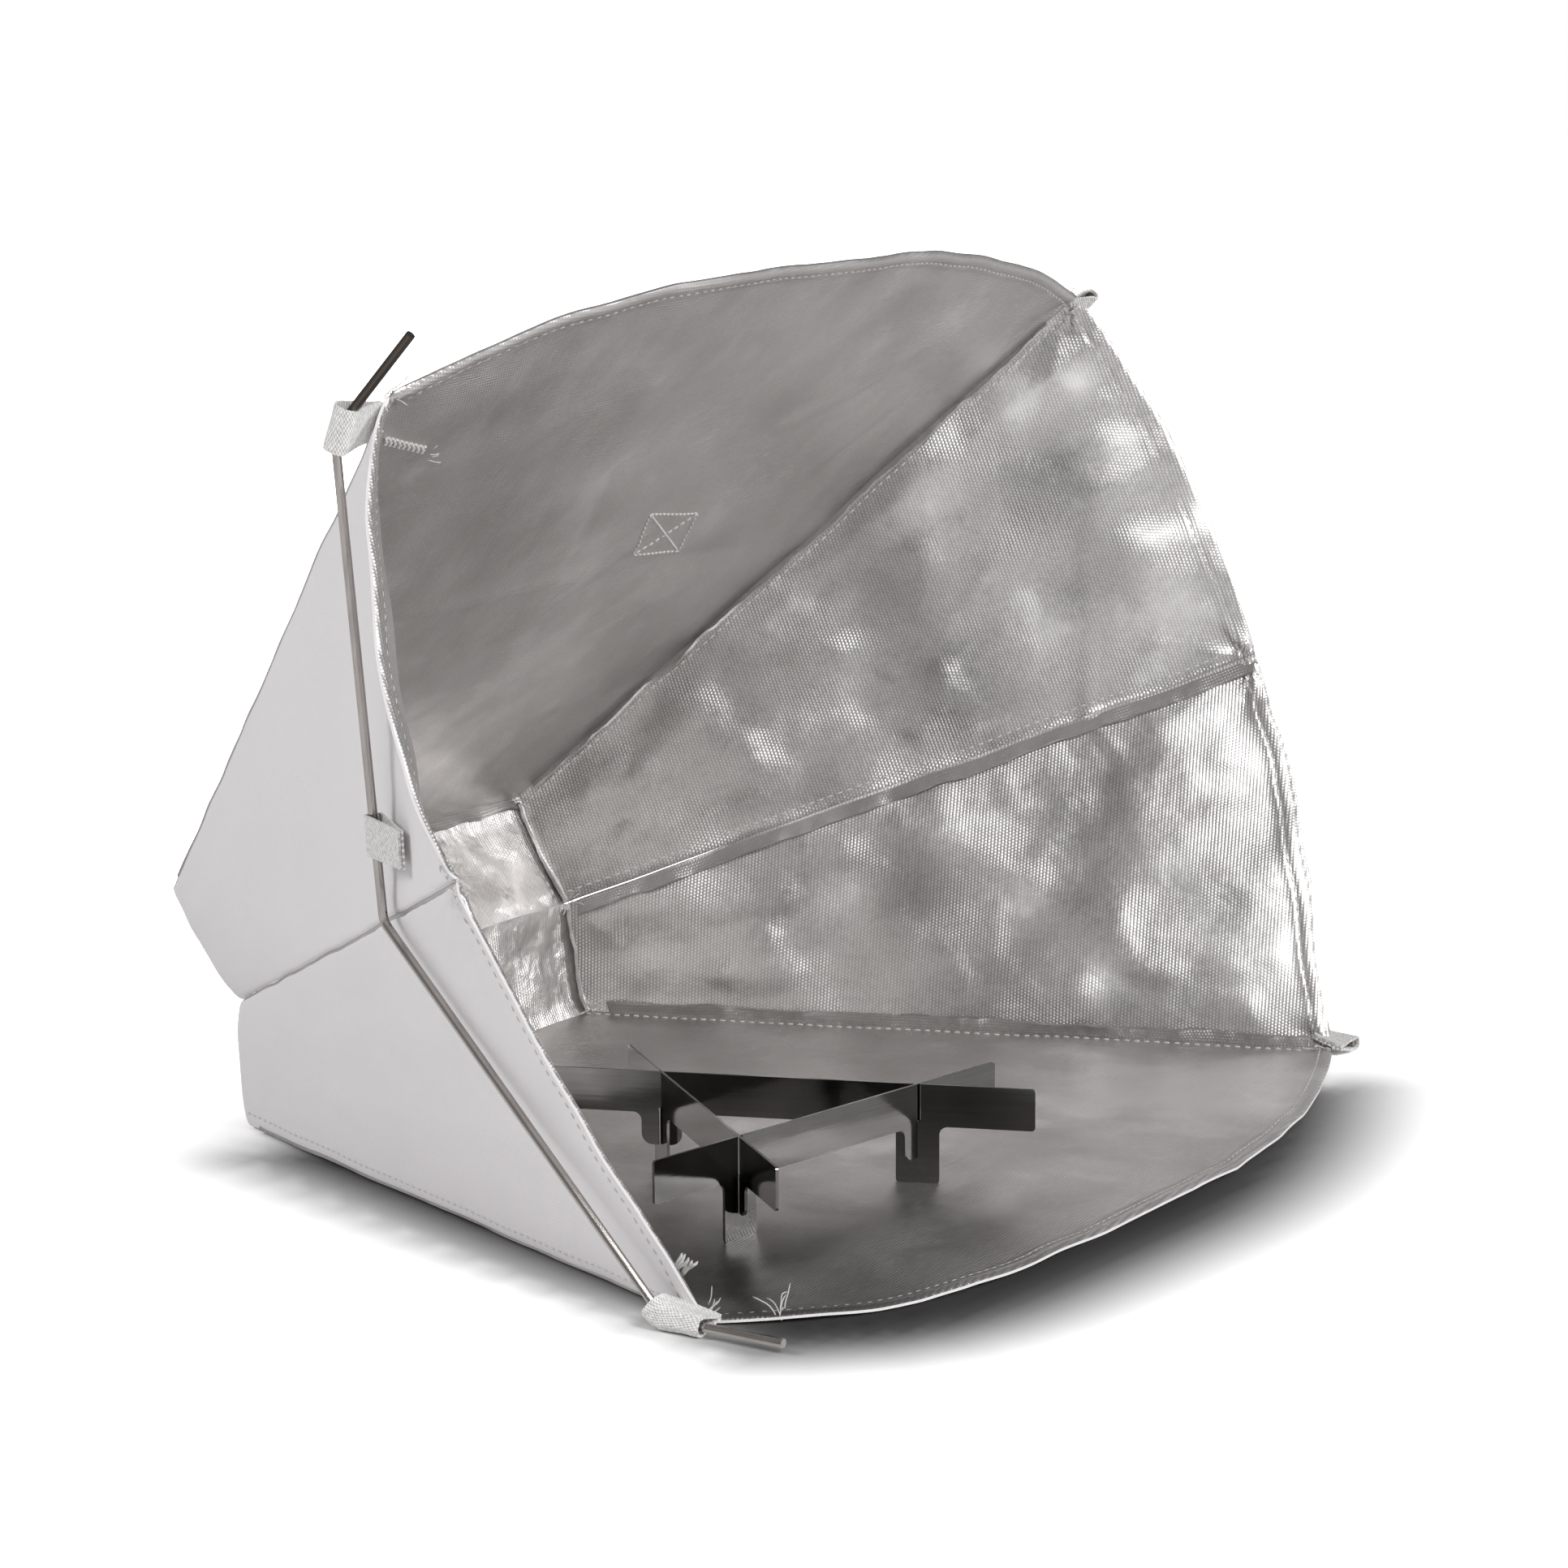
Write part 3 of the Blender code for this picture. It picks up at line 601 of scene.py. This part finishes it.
# The back is two low strips with a crease between them, which lets the oven fold flat. Each half of the oven
# lies between two levels of seams.
BACK_DEPTH = 0.05
HALVES = (("floor", "middle", "lower"), ("middle", "top", "upper"))
back_inside = {}
for low, high, name in HALVES:
    rows, columns = spread(BACK_DEPTH, 0.0024, hemmed=False), np.linspace(0, 1, 90)
    grid = patch(creases[low], creases[high], posts["left", low], posts["right", low], rows, columns)
    push = crumple(grid, 3.0, ((0.05, 0.0030, 0.4), (0.022, 0.0024, 0.5), (0.010, 0.0011, 0.5)))
    grid[..., 1] += push * fade(grid, 0.012, hemmed=False)
    thickness = thickness_of(rows, BACK_DEPTH, hemmed=False)
    cloth, back_inside[low], _ = sheet_piece(
        f"back_{name}_cloth", grid, (0, 1, 0), thickness, (0, 0, 1), (OUTSIDE, INSIDE_BACK_LIT)
    )
    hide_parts(f"back_{name}_panel")
    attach(cloth, f"back_{name}")

# The sides are two halves each, joined by the middle seam, and fold in like a bellows. Their mouth edges
# bow outwards. The left ones are smooth outside, and the right ones are the most crumpled.
FOLD = {
    "floor": ("floor", (0, 0, 1), (0, 0, 0)),
    "middle": ("top", tuple(TOP_NORMAL), tuple(corner("mouth_top", 1))),
}


def fasten(piece, half):
    """A piece of a side half rides with the floor or the top, and gets a mesh of its own."""
    body, axis, anchor = FOLD[half]
    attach(piece, body)
    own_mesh(piece)


SIDE_DEPTH, FLARE_REACH, RIGHT_PULL = 0.29, 0.034, 0.0015
WIRE_ROOM, WIRE_GROOVE = 0.0026, 0.005
SIDE_DENTS = ((0.075, 0.0022, 0.2), (0.034, 0.0022, 0.3), (0.015, 0.0010, 0.4))
PROP_X, LEAN = 0.22097, 0.012
FOOT, KINK, TOP_BEND = (-0.1234, 0.0031), (-0.0118, 0.1191), (-0.0058, 0.2800)


def wire_x(height, side):
    """How far out a prop stands at a height. The left one leans outwards above its kink."""
    lean = LEAN if side < 0 else 0.0
    return PROP_X + lean * np.clip((height - KINK[1]) / (TOP_BEND[1] - KINK[1]), 0, 1)


def distance_to_wire(grid):
    """How far each point of a side lies from the prop's line, seen from the side."""
    flat, found = grid[..., 1:], []
    for start, end in ((FOOT, KINK), (KINK, TOP_BEND)):
        start, step = np.array(start), np.array(end) - np.array(start)
        share = np.clip(((flat - start) @ step) / (step @ step), 0, 1)
        found.append(np.linalg.norm(flat - start - share[..., None] * step, axis=-1))
    return np.minimum(*found)


# Painted highlights and patches of painted shade on the right sides' film; the left sides get none.
SIDE_PAINTED_LIGHT = {
    "middle": (
        (0.200, 0.007, 0.252, 0.012, 2.2), (0.215, -0.014, 0.256, 0.007, 2.2), (0.237, -0.043, 0.165, 0.016, 1.5),
        (0.225, -0.027, 0.227, 0.012, 1.2), (0.182, 0.034, 0.208, 0.014, 1.2), (0.209, -0.003, 0.162, 0.015, 1.2),
        (0.172, 0.050, 0.169, 0.024, -0.30), (0.210, -0.006, 0.215, 0.016, -0.30), (0.137, 0.101, 0.133, 0.030, -0.18),
        (0.189, 0.027, 0.129, 0.022, -0.30), (0.242, -0.055, 0.201, 0.014, 1.5),
    ),
    "floor": (
        (0.209, -0.058, 0.068, 0.020, 1.3), (0.216, -0.100, 0.040, 0.016, 1.8), (0.240, -0.062, 0.112, 0.016, 1.3),
        (0.181, -0.009, 0.055, 0.010, 1.8), (0.182, -0.046, 0.023, 0.010, 2.2), (0.205, -0.074, 0.042, 0.011, 1.4),
        (0.210, -0.104, 0.025, 0.014, 1.6), (0.181, 0.021, 0.082, 0.014, 0.8), (0.111, 0.112, 0.027, 0.025, 0.5),
        (0.149, 0.055, 0.050, 0.009, 1.2), (0.164, 0.030, 0.057, 0.022, -0.45), (0.136, 0.085, 0.052, 0.022, -0.25),
        (0.203, -0.048, 0.062, 0.014, -0.45), (0.165, -0.008, 0.025, 0.018, -0.35),
    ),
}
side_inside, side_outside = {}, {}
for side, word in SIDES:
    strength, pull = (1.0, RIGHT_PULL) if side > 0 else (0.35, 0.0)
    for low, high, name in HALVES:
        rows, columns = spread(SIDE_DEPTH), to_seams(84)
        grid = patch(edges[word, low], posts[word, low], seams[word, low], seams[word, high], rows, columns)
        belly = columns**1.6 * (1 - columns) * 3.6 if low == "floor" else 1 - np.abs(2 * columns - 1) ** 2.8
        near_edge = np.clip(1 - rows * SIDE_DEPTH / FLARE_REACH, 0, 1) ** 2
        grid += near_edge[:, None, None] * belly[None, :, None] * np.array(FLARES[word, low])
        push = (strength * crumple(grid, 5.0 + side + len(name), SIDE_DENTS) - pull) * fade(grid, 0.02)
        for place in (f"mouth_{low}", f"mouth_{high}"):
            push += gathers(grid, corner(place, side), 0.016, 0.0014, len(place)) * fade(grid, 0.005)
        grid[..., 0] += side * push
        held = np.clip(side * grid[..., 0] - wire_x(grid[..., 2], side) + WIRE_ROOM, 0, None)
        grid[..., 0] -= side * held * np.exp(-((distance_to_wire(grid) / WIRE_GROOVE) ** 2))
        along = corner(f"mouth_{high}", side) - corner(f"mouth_{low}", side)
        seam_line = corner(f"back_{low}", side) - corner(f"mouth_{low}", side)
        along -= seam_line * (along @ seam_line) / (seam_line @ seam_line)
        cloth, side_inside[word, low], side_outside[word, low] = sheet_piece(
            f"{word}_{name}_cloth", grid, (side, 0, 0), thickness_of(rows, SIDE_DEPTH), along,
            (OUTSIDE, INSIDE), SIDE_PAINTED_LIGHT[low] if side > 0 else (),
        )
        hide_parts(f"{word}_{name}_side")
        fasten(cloth, low)


# Every seam was sewn outside in, so its two raw edges stand up inside the oven as a narrow frayed flap.
# The middle seams' flaps hang down over the lower side, and the floor's stand up against it.
RAW_EDGES = 0.0011


def slab(name, grid, thickness, finish, seed=0.0):
    """A strip of cloth or tape with the same thickness all over, given by its middle surface."""
    rows, columns = grid.shape[:2]
    step = unit_normals(grid) * thickness / 2
    front, edge = grid_faces(rows, columns)
    faces = np.concatenate((front, front[:, ::-1] + rows * columns, edge))
    points = np.concatenate(((grid - step).reshape(-1, 3), (grid + step).reshape(-1, 3)))
    item = new_item(name, points.tolist(), faces.tolist(), finish)
    cut = np.stack((walked(grid, 0), walked(grid, 1)), -1).reshape(-1, 2) + seed
    lay_flat(item.data, faces, np.concatenate([cut] * 2))
    item.data.shade_smooth()
    item.data.set_sharp_from_angle(angle=math.radians(50))
    return item


def flap(name, line, toward, width, seed, lift=0.0, first=0.0, last=1.0, wave=0.0012):
    """A seam's raw edges: a strip that stands off the seam line and waves where it is free."""
    shares = np.linspace(first, last, max(12, round(line.length * (last - first) / 0.0024)))
    foot = line(shares)
    toward = np.array(toward, float) / np.linalg.norm(toward)
    side_way = np.cross(line.end - line.start, toward)
    side_way /= np.linalg.norm(side_way)
    gone = shares * line.length
    reach = width * (1 + 0.22 * ripple(seed + 2, gone, 0.011, 1.0)[:, 0])
    sway = ripple(seed, gone, 0.016, 1.0)[:, 1] * wave + ripple(seed + 1, gone, 0.0045, 1.0)[:, 2] * wave * 0.35
    rows = np.array((0.0, 0.3, 0.6, 0.85, 1.0))[:, None, None]
    grid = foot[None] + rows * reach[None, :, None] * toward
    grid = grid + rows**1.5 * sway[None, :, None] * side_way * 2 + lift * toward
    return slab(name, grid, RAW_EDGES, INSIDE_SEAM_SHADED, seed * 0.013)


for side, word in SIDES:
    floor_flap = flap(
        f"{word}_floor_seam_flap", seams[word, "floor"], (-side * 0.30, 0.0, 0.95), 0.0062, 61 + side,
        first=0.03, last=0.97, wave=0.0016,
    )
    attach(floor_flap, "floor")
    middle_flap = flap(
        f"{word}_middle_seam_flap", seams[word, "middle"], (-side * 0.62, -0.26, -0.88), 0.0074, 71 + side,
        lift=0.0004, last=0.98, wave=0.0009,
    )
    fasten(middle_flap, "floor")
    top_flap = flap(
        f"{word}_top_seam_flap", seams[word, "top"], (-side * 0.50, -0.55, -0.66), 0.0042, 81 + side,
        first=0.05, last=0.97, wave=0.0010,
    )
    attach(top_flap, "top")
    for low, _, name in HALVES:
        post_flap = flap(
            f"{word}_back_{low}_flap", posts[word, low], (-side * 0.75, -0.66, 0.0), 0.0058, 91 + side,
            first=0.04, last=0.96, wave=0.0010,
        )
        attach(post_flap, f"back_{name}")
roof_flap = flap(
    "back_top_seam_flap", creases["top"], (0.0, -0.75, -0.66), 0.0052, 99, first=0.02, last=0.98, wave=0.0010
)
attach(roof_flap, "top")

# Sewing thread is heavy glass yarn, with stitches 4 mm apart. Each one is its own short bar that dips into
# the cloth at both ends. Bar tacks and loose frayed ends mark the corners.
thread = Finish("glass_thread")
strand = thread.add("ShaderNodeTexNoise", None, {"Scale": 900.0, "Detail": 2.0})
thread_bump = thread.bump(0.4, 0.0002, strand)
thread_colour = thread.mix(strand, (0.52, 0.51, 0.49, 1.0), (0.74, 0.73, 0.71, 1.0))
THREAD = thread.set(Base_Color=thread_colour, Roughness=0.7, Normal=thread_bump)
HALF_BAR = ((-1.0, 0.15, -0.9), (-0.78, 0.8, -0.1), (-0.3, 1.0, 0.25))
BAR_RINGS = (*HALF_BAR, *((-along, swell, rise) for along, swell, rise in reversed(HALF_BAR)))
BAR_SIDES = 6


def in_thread(name, points, faces):
    """A mesh of glass thread."""
    item = new_item(name, [tuple(point) for point in points], faces, THREAD)
    item.data.shade_smooth()
    return item


def sew(name, lines, pitch=0.004, length=0.0027, radius=0.00036):
    """Stitches along lines, each given as its points and the way the cloth faces there."""
    points, faces = [], []
    turns = np.linspace(0, 2 * math.pi, BAR_SIDES, endpoint=False)
    for path, normals in lines:
        gone = walked(path, 0)
        for k, place in enumerate(np.arange(pitch / 2, gone[-1], pitch)):
            middle, ahead, behind = (point_at(place + off, gone, path) for off in (0.0, length / 2, -length / 2))
            normal = point_at(place, gone, normals)
            wobble = noise.noise_vector(Vector((place * 90, k * 0.7, pitch * 1000))) * 0.00045
            tangent = ahead - behind + np.array(wobble)
            tangent /= max(np.linalg.norm(tangent), 1e-9)
            normal = normal - tangent * (normal @ tangent)
            normal /= np.linalg.norm(normal)
            beside = np.cross(tangent, normal)
            start = len(points)
            for along, swell, rise in BAR_RINGS:
                centre = middle + tangent * along * length / 2 + normal * rise * radius
                for turn in turns:
                    points.append(centre + radius * swell * (math.cos(turn) * beside + math.sin(turn) * normal))
            for ring in range(len(BAR_RINGS) - 1):
                for j in range(BAR_SIDES):
                    a, b = start + ring * BAR_SIDES + j, start + ring * BAR_SIDES + (j + 1) % BAR_SIDES
                    faces.append((a, b, b + BAR_SIDES, a + BAR_SIDES))
            faces.append(tuple(start + j for j in reversed(range(BAR_SIDES))))
            faces.append(tuple(start + (len(BAR_RINGS) - 1) * BAR_SIDES + j for j in range(BAR_SIDES)))
    return in_thread(name, points, faces)


floor_lines = [floor_inside.hem(), floor_inside.beside(0, 0.004), floor_inside.beside(-1, 0.004)]
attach(sew("floor_hem_stitches", floor_lines), "floor")
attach(sew("top_hem_stitches", [top_inside.hem(), top_outside.hem(6)]), "top")
for side, word in SIDES:
    for low in ("floor", "middle"):
        inside, outside = side_inside[word, low], side_outside[word, low]
        lines = [inside.hem(), outside.hem(6)]
        if low == "floor":
            lines += [inside.beside(0, 0.0035), outside.beside(0, 0.0055)]
        else:
            lines += [inside.beside(0, 0.0045), inside.beside(-1, 0.0050)]
        fasten(sew(f"{word}_{low}_side_stitches", lines), low)
for low, _, name in HALVES:
    cloth_face = back_inside[low]
    across_back = [(cloth_face.points[:, k], cloth_face.normals[:, k]) for k in (3, -4)]
    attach(sew(f"back_{low}_stitches", across_back), f"back_{name}")


def tuft(name, place, normal, along, count, length, seed, spread_out=1.0, thick=0.00022):
    """Loose ends of yarn that spring from one place, each with its own curl."""
    points, faces = [], []
    normal, along = (np.array(way, float) / np.linalg.norm(way) for way in (normal, along))
    sides, joints = 5, 7
    for k in range(count):
        twist = [noise.noise_vector(Vector((seed * 3.7, k * 5.3 + j * 0.45, 0.4 * seed))) for j in range(joints)]
        way = along + normal * (0.5 + 0.6 * twist[0][0]) + np.array(twist[3]) * 1.2 * spread_out
        way /= np.linalg.norm(way)
        place_now = np.array(place) + np.array(twist[1]) * 0.004 * spread_out
        reach = length * (0.65 + 0.7 * abs(twist[2][1]))
        for j in range(joints):
            start = len(points)
            way = way + np.array(twist[j]) * 0.55
            way /= np.linalg.norm(way)
            first = np.cross(way, normal)
            first /= max(np.linalg.norm(first), 1e-9)
            second = np.cross(way, first)
            radius = thick * (1.0 if j < joints - 1 else 0.4)
            for turn in np.linspace(0, 2 * math.pi, sides, endpoint=False):
                points.append(place_now + radius * (math.cos(turn) * first + math.sin(turn) * second))
            if j:
                for m in range(sides):
                    a, b = start - sides + m, start - sides + (m + 1) % sides
                    faces.append((a, b, b + sides, a + sides))
            else:
                faces.append(tuple(start + m for m in reversed(range(sides))))
            place_now = place_now + way * reach / (joints - 1)
            place_now[2] = max(place_now[2], 0.0004)
        faces.append(tuple(len(points) - sides + m for m in range(sides)))
    return in_thread(name, points, faces)


for side, word in SIDES:
    inward = (-side, 0.0, 0.0)
    for name, body, offset, normal, along, count, length, seed in (
        ("top", "top", (-side * 0.002, 0.002, -0.001), (0, -0.5, 0.8), inward, 6, 0.009, 3),
        ("middle", None, (-side * 0.003, 0.004, -0.001), (-side, -0.4, 0.3), (0, -0.5, 0.8), 7, 0.008, 7),
        ("floor", "floor", (-side * 0.004, 0.002, 0.002), (0, -0.3, 0.9), inward, 7, 0.009, 11),
    ):
        place = corner(f"mouth_{name}", side) + np.array(offset)
        yarn = tuft(f"{word}_{name}_corner_yarn", place, normal, along, count, length, seed + side)
        if body:
            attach(yarn, body)
        else:
            fasten(yarn, "floor")
    for place, body, seed in (("back_top", "top", 21), ("back_middle", "back_lower", 25), ("back_floor", "floor", 29)):
        knot = corner(place, side) + np.array((-side * 0.003, -0.003, -0.001 if place == "back_top" else 0.003))
        normal, along = (-side * 0.6, -0.8, 0.1), (-side * 0.4, -0.7, 0.2)
        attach(tuft(f"{word}_{place}_yarn", knot, normal, along, 9, 0.006, seed + side), body)
for k, place in enumerate(((-0.2088, -0.1185, 0.0150), (-0.2072, -0.1208, 0.0140))):
    yarn = tuft(
        f"foot_frayed_end_{k + 1}", place, (0, -0.3, 1), (0.40, -0.58, 0.75), 4, 0.0085, 47 + k,
        spread_out=0.22, thick=0.0006,
    )
    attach(yarn, "floor")
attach(tuft("lip_fray", (-0.1946, -0.1500, 0.002), (0, 0, 1), (0.5, 0.4, 0.3), 6, 0.011, 41), "floor")
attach(tuft("bar_tack_ends", (-0.1670, 0.0102, 0.2648), -TOP_NORMAL, (1, 0, 0), 4, 0.005, 43), "top")

# White woven tape makes the loops that hold the props. Each is doubled round the wire and sewn flat to the
# cloth beside it. The foot loops are pulled round the prop's bend like socks.
TAPE_THICKNESS, TAPE_PITCH = 0.0009, 0.0020
TAIL_SHAPE = ((1.0, 0.00055), (0.86, 0.0006), (0.66, 0.0010), (0.46, 0.0017))


def woven_tape():
    """White tape in a plain basket weave, with a soft shadow between its yarns."""
    finish = Finish("white_tape")
    cut = finish.add("ShaderNodeUVMap", {"uv_map": "cut"})
    place = finish.add("ShaderNodeSeparateXYZ", None, {0: cut})
    over, under = (place.out(axis) * (2 * math.pi / TAPE_PITCH) for axis in ("X", "Y"))
    basket = over.cosine() * (under * 2.0).cosine() * 0.5 + 0.5
    fluff = finish.speckle(cut, 700.0, 3.0)
    lit = (basket * 1.0 + fluff * 1.3 - 0.65).clamp()
    colour = finish.mix(lit, (0.50, 0.49, 0.475, 1.0), (1.0, 0.995, 0.985, 1.0))
    bump = finish.bump(0.7, 0.0004, basket + fluff * 0.5)
    return finish.set(Base_Color=colour, Roughness=0.85, Normal=bump, Specular_IOR_Level=0.25)


TAPE = woven_tape()


def tape_loop(name, wire, tail, radius, seed, slack=0.1):
    """A doubled tape round a stretch of wire, drawn out to a flat tail that is sewn down. Its radius goes
    from a first to a last one, and slack crumples it."""
    wire, tail = (np.array(line, float) for line in (wire, tail))
    knots = np.linspace(0, 1, len(wire))
    rows = []
    for s in np.linspace(0, 1, 9):
        centre = point_at(s, knots, wire)
        way = point_at(min(s + 0.15, 1), knots, wire) - point_at(max(s - 0.15, 0), knots, wire)
        way /= np.linalg.norm(way)
        end = tail[0] + (tail[1] - tail[0]) * s
        out = end - centre
        out -= way * (out @ way)
        reach = np.linalg.norm(out)
        out /= reach
        up = np.cross(way, out)
        swell = radius[0] + (radius[1] - radius[0]) * s
        profile = [(reach * share, rise) for share, rise in TAIL_SHAPE]
        for t in np.linspace(math.radians(62), math.radians(298), 17):
            pull = swell * (1 + slack * noise.noise(Vector((s * 2.4 + seed, math.cos(t) * 1.3, math.sin(t) * 1.3))))
            profile.append((pull * math.cos(t), pull * math.sin(t)))
        profile += [(reach * share, -rise) for share, rise in reversed(TAIL_SHAPE)]
        row = []
        for k, (a, b) in enumerate(profile):
            share = min(max((a - swell) / max(reach - swell, 1e-6), 0), 1)
            slide = (end - centre) @ way * share
            row.append(centre + out * a + up * b + way * slide)
        rows.append(row)
    return slab(name, np.array(rows), TAPE_THICKNESS, TAPE, seed * 0.01)


LOOP_X = 0.2210
for side, word in SIDES:
    lean = LEAN if side < 0 else 0.0
    x = side * (LOOP_X + lean)
    if side < 0:
        wire, radius = [(x, -0.0058, 0.2745), (x, -0.0118, 0.2890)], (0.0036, 0.0040)
    else:
        wire, radius = [(x, -0.0062, 0.2775), (x, -0.0098, 0.2842), (x, -0.0166, 0.2906)], (0.0026, 0.0022)
    tail = [(side * 0.2165, -0.0050, 0.2755), (side * 0.2140, -0.0100, 0.2885)]
    loop = tape_loop(f"{word}_top_tape", wire, tail, radius, 5 + side)
    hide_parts(f"{word}_top_loop")
    fasten(loop, "middle")
    x = side * (LOOP_X + lean * 0.16)
    wire = [(x * 0.9985, -0.0110, 0.1415), (x * 1.0005, -0.0108, 0.1480), (x * 1.0020, -0.0105, 0.1550)]
    tail = [(side * 0.2330, -0.0300, 0.1405), (side * 0.2318, -0.0285, 0.1530)]
    loop = tape_loop(f"{word}_middle_tape", wire, tail, (0.0028, 0.0028), 9 + side)
    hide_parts(f"{word}_middle_loop")
    fasten(loop, "middle")
    x, radius = side * LOOP_X, (0.0046, 0.0029) if side < 0 else (0.0030, 0.0023)
    wire = [(x, -0.1190, 0.0076), (x, -0.1232, 0.0042), (x, -0.1300, 0.0036), (x, -0.1384, 0.0032)]
    tail = [(side * 0.2105, -0.1250, 0.0062), (side * 0.2095, -0.1375, 0.0032)]
    loop = tape_loop(f"{word}_foot_tape", wire, tail, radius, 13 + side, slack=0.28)
    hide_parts(f"{word}_bottom_loop")
    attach(loop, "floor")

# A short tab of the same tape is sewn flat on the top, with a square and a cross of stitches that show on
# both faces. The square is a little askew.
APEX_Y, APEX_Z = 0.267638, 0.0005
TAB = {
    name: np.array((x, APEX_Y - reach * math.cos(TOP_SLOPE), APEX_Z + reach * math.sin(TOP_SLOPE)))
    for name, x, reach in (("a", 0.0178, 0.3079), ("b", 0.0526, 0.3030), ("c", 0.0634, 0.2789), ("d", 0.0308, 0.2824))
}


def on_face(face, start, end, lift):
    """A straight line laid on one face of a panel."""
    points, normals = face.points.reshape(-1, 3), face.normals.reshape(-1, 3)
    line = start + np.linspace(0, 1, 24)[:, None] * (end - start)
    nearest = np.argmin(np.linalg.norm(points[None] - line[:, None], axis=2), axis=1)
    normal = normals[nearest]
    drop = ((points[nearest] - line) * normal).sum(axis=1, keepdims=True)
    return line + normal * (drop + lift), normal


middle = sum(TAB.values()) / 4
tab_corner = {name: middle + (place - middle) * 1.13 for name, place in TAB.items()}
across_tab, along_tab = np.meshgrid(np.linspace(0, 1, 22), np.linspace(0, 1, 16))
weights = {
    "a": (1 - across_tab) * (1 - along_tab), "b": across_tab * (1 - along_tab),
    "c": across_tab * along_tab, "d": (1 - across_tab) * along_tab,
}
tab_grid = sum(weight[..., None] * tab_corner[name] for name, weight in weights.items())
rim_off = np.minimum(np.minimum(across_tab, 1 - across_tab), np.minimum(along_tab, 1 - along_tab))
tab_points, outside_points = tab_grid.reshape(-1, 3), top_outside.points.reshape(-1, 3)
seat = np.array([outside_points[np.argmin(np.linalg.norm(outside_points - place, axis=1))] for place in tab_points])
lift = ((seat - tab_points) @ TOP_NORMAL).reshape(across_tab.shape)
lift = lift + 0.0008 + 0.0007 * np.sin(np.clip(rim_off * 5, 0, 1) * math.pi)
tab = slab("top_tab_tape", tab_grid + lift[..., None] * TOP_NORMAL, TAPE_THICKNESS, TAPE, 3.0)
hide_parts("top_tab")
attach(tab, "top")
box_lines = [
    on_face(face, TAB[first], TAB[second], lift)
    for face, lift in ((top_inside, 0.0), (top_outside, 0.0016))
    for first, second in ("ab", "bc", "cd", "da", "ac", "bd")
]
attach(sew("tab_stitches", box_lines, 0.0029, 0.0024, 0.00050), "top")

# A bar tack marks the top's left corner. Its thread zigzags between two rows of ten points, and then runs
# along both rows.
TACK_ROWS = (
    ((-0.1955, 0.0043, 0.2749), (-0.1683, 0.0094, 0.2692)),
    ((-0.1947, 0.0064, 0.2727), (-0.1677, 0.0114, 0.2672)),
)
tack = [np.linspace(*ends, 10) for ends in TACK_ROWS]
zigzag = [(tack[k % 2][k // 2], tack[(k + 1) % 2][(k + 1) // 2]) for k in range(18)]
zigzag += [(row[k], row[k + 1]) for row in tack for k in range(9)]
tack_lines = [on_face(top_inside, first, second, 0.0003) for first, second in zigzag]
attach(sew("bar_tack", tack_lines, 0.0022, 0.0019, 0.00055), "top")

# The props are drawn stainless wire with fine lines along it, and browned by heat at the bare ends. The
# trivet is polished sheet steel with faint rolling lines, its colour painted dark as a painted reflection of the
# oven's shade.
def drawn_wire():
    """Bright wire with lines along it, darker and browner at its top end."""
    finish = Finish("drawn_stainless")
    spot = finish.add("ShaderNodeTexCoord").out("Object")
    drawn = finish.add("ShaderNodeMapping", None, {"Vector": spot, "Scale": (1400.0, 90.0, 60.0)})
    lines = finish.speckle(drawn, 1.0)
    blotch = finish.speckle(spot, 55.0, 3.0)
    parts = finish.add("ShaderNodeSeparateXYZ", None, {0: spot})
    end = ((parts.out("Z") - 0.283) * 160.0).clamp()
    steel = finish.mix(lines * 0.6 + blotch * 0.4, (0.26, 0.235, 0.22, 1.0), (0.62, 0.59, 0.57, 1.0))
    colour = finish.mix(end, steel, (0.10, 0.085, 0.075, 1.0))
    bump = finish.bump(0.25, 0.0001, lines)
    return finish.set(Base_Color=colour, Metallic=1.0, Roughness=lines * 0.12 + end * 0.15 + 0.10, Normal=bump)


def mirror_steel():
    """Polished sheet with faint rolling lines, its colour painted near black as a painted reflection of the oven's
    shade.
    """
    finish = Finish("dark_mirror_steel")
    spot = finish.add("ShaderNodeTexCoord").out("Object")
    rolled = finish.add("ShaderNodeMapping", None, {"Vector": spot, "Scale": (30.0, 30.0, 900.0)})
    grain = finish.speckle(rolled, 1.0)
    cloud = finish.speckle(spot, 30.0, 4.0)
    # Painted shade: the steel's colour is near black, standing for its dark reflections in the oven's shade.
    colour = finish.mix(cloud * 0.7 + grain * 0.3, (0.10, 0.098, 0.096, 1.0), (0.27, 0.265, 0.26, 1.0))
    bump = finish.bump(0.12, 0.0001, grain)
    return finish.set(Base_Color=colour, Metallic=1.0, Roughness=cloud * 0.10 + 0.06, Normal=bump)


WIRE, DARK_STEEL = drawn_wire(), mirror_steel()
for name, finish in (("left_rod", WIRE), ("right_rod", WIRE), *((f"trivet_strip_{k}", DARK_STEEL) for k in (1, 2, 3))):
    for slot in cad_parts[name].material_slots:
        slot.material = finish

low, high = cad_bounds
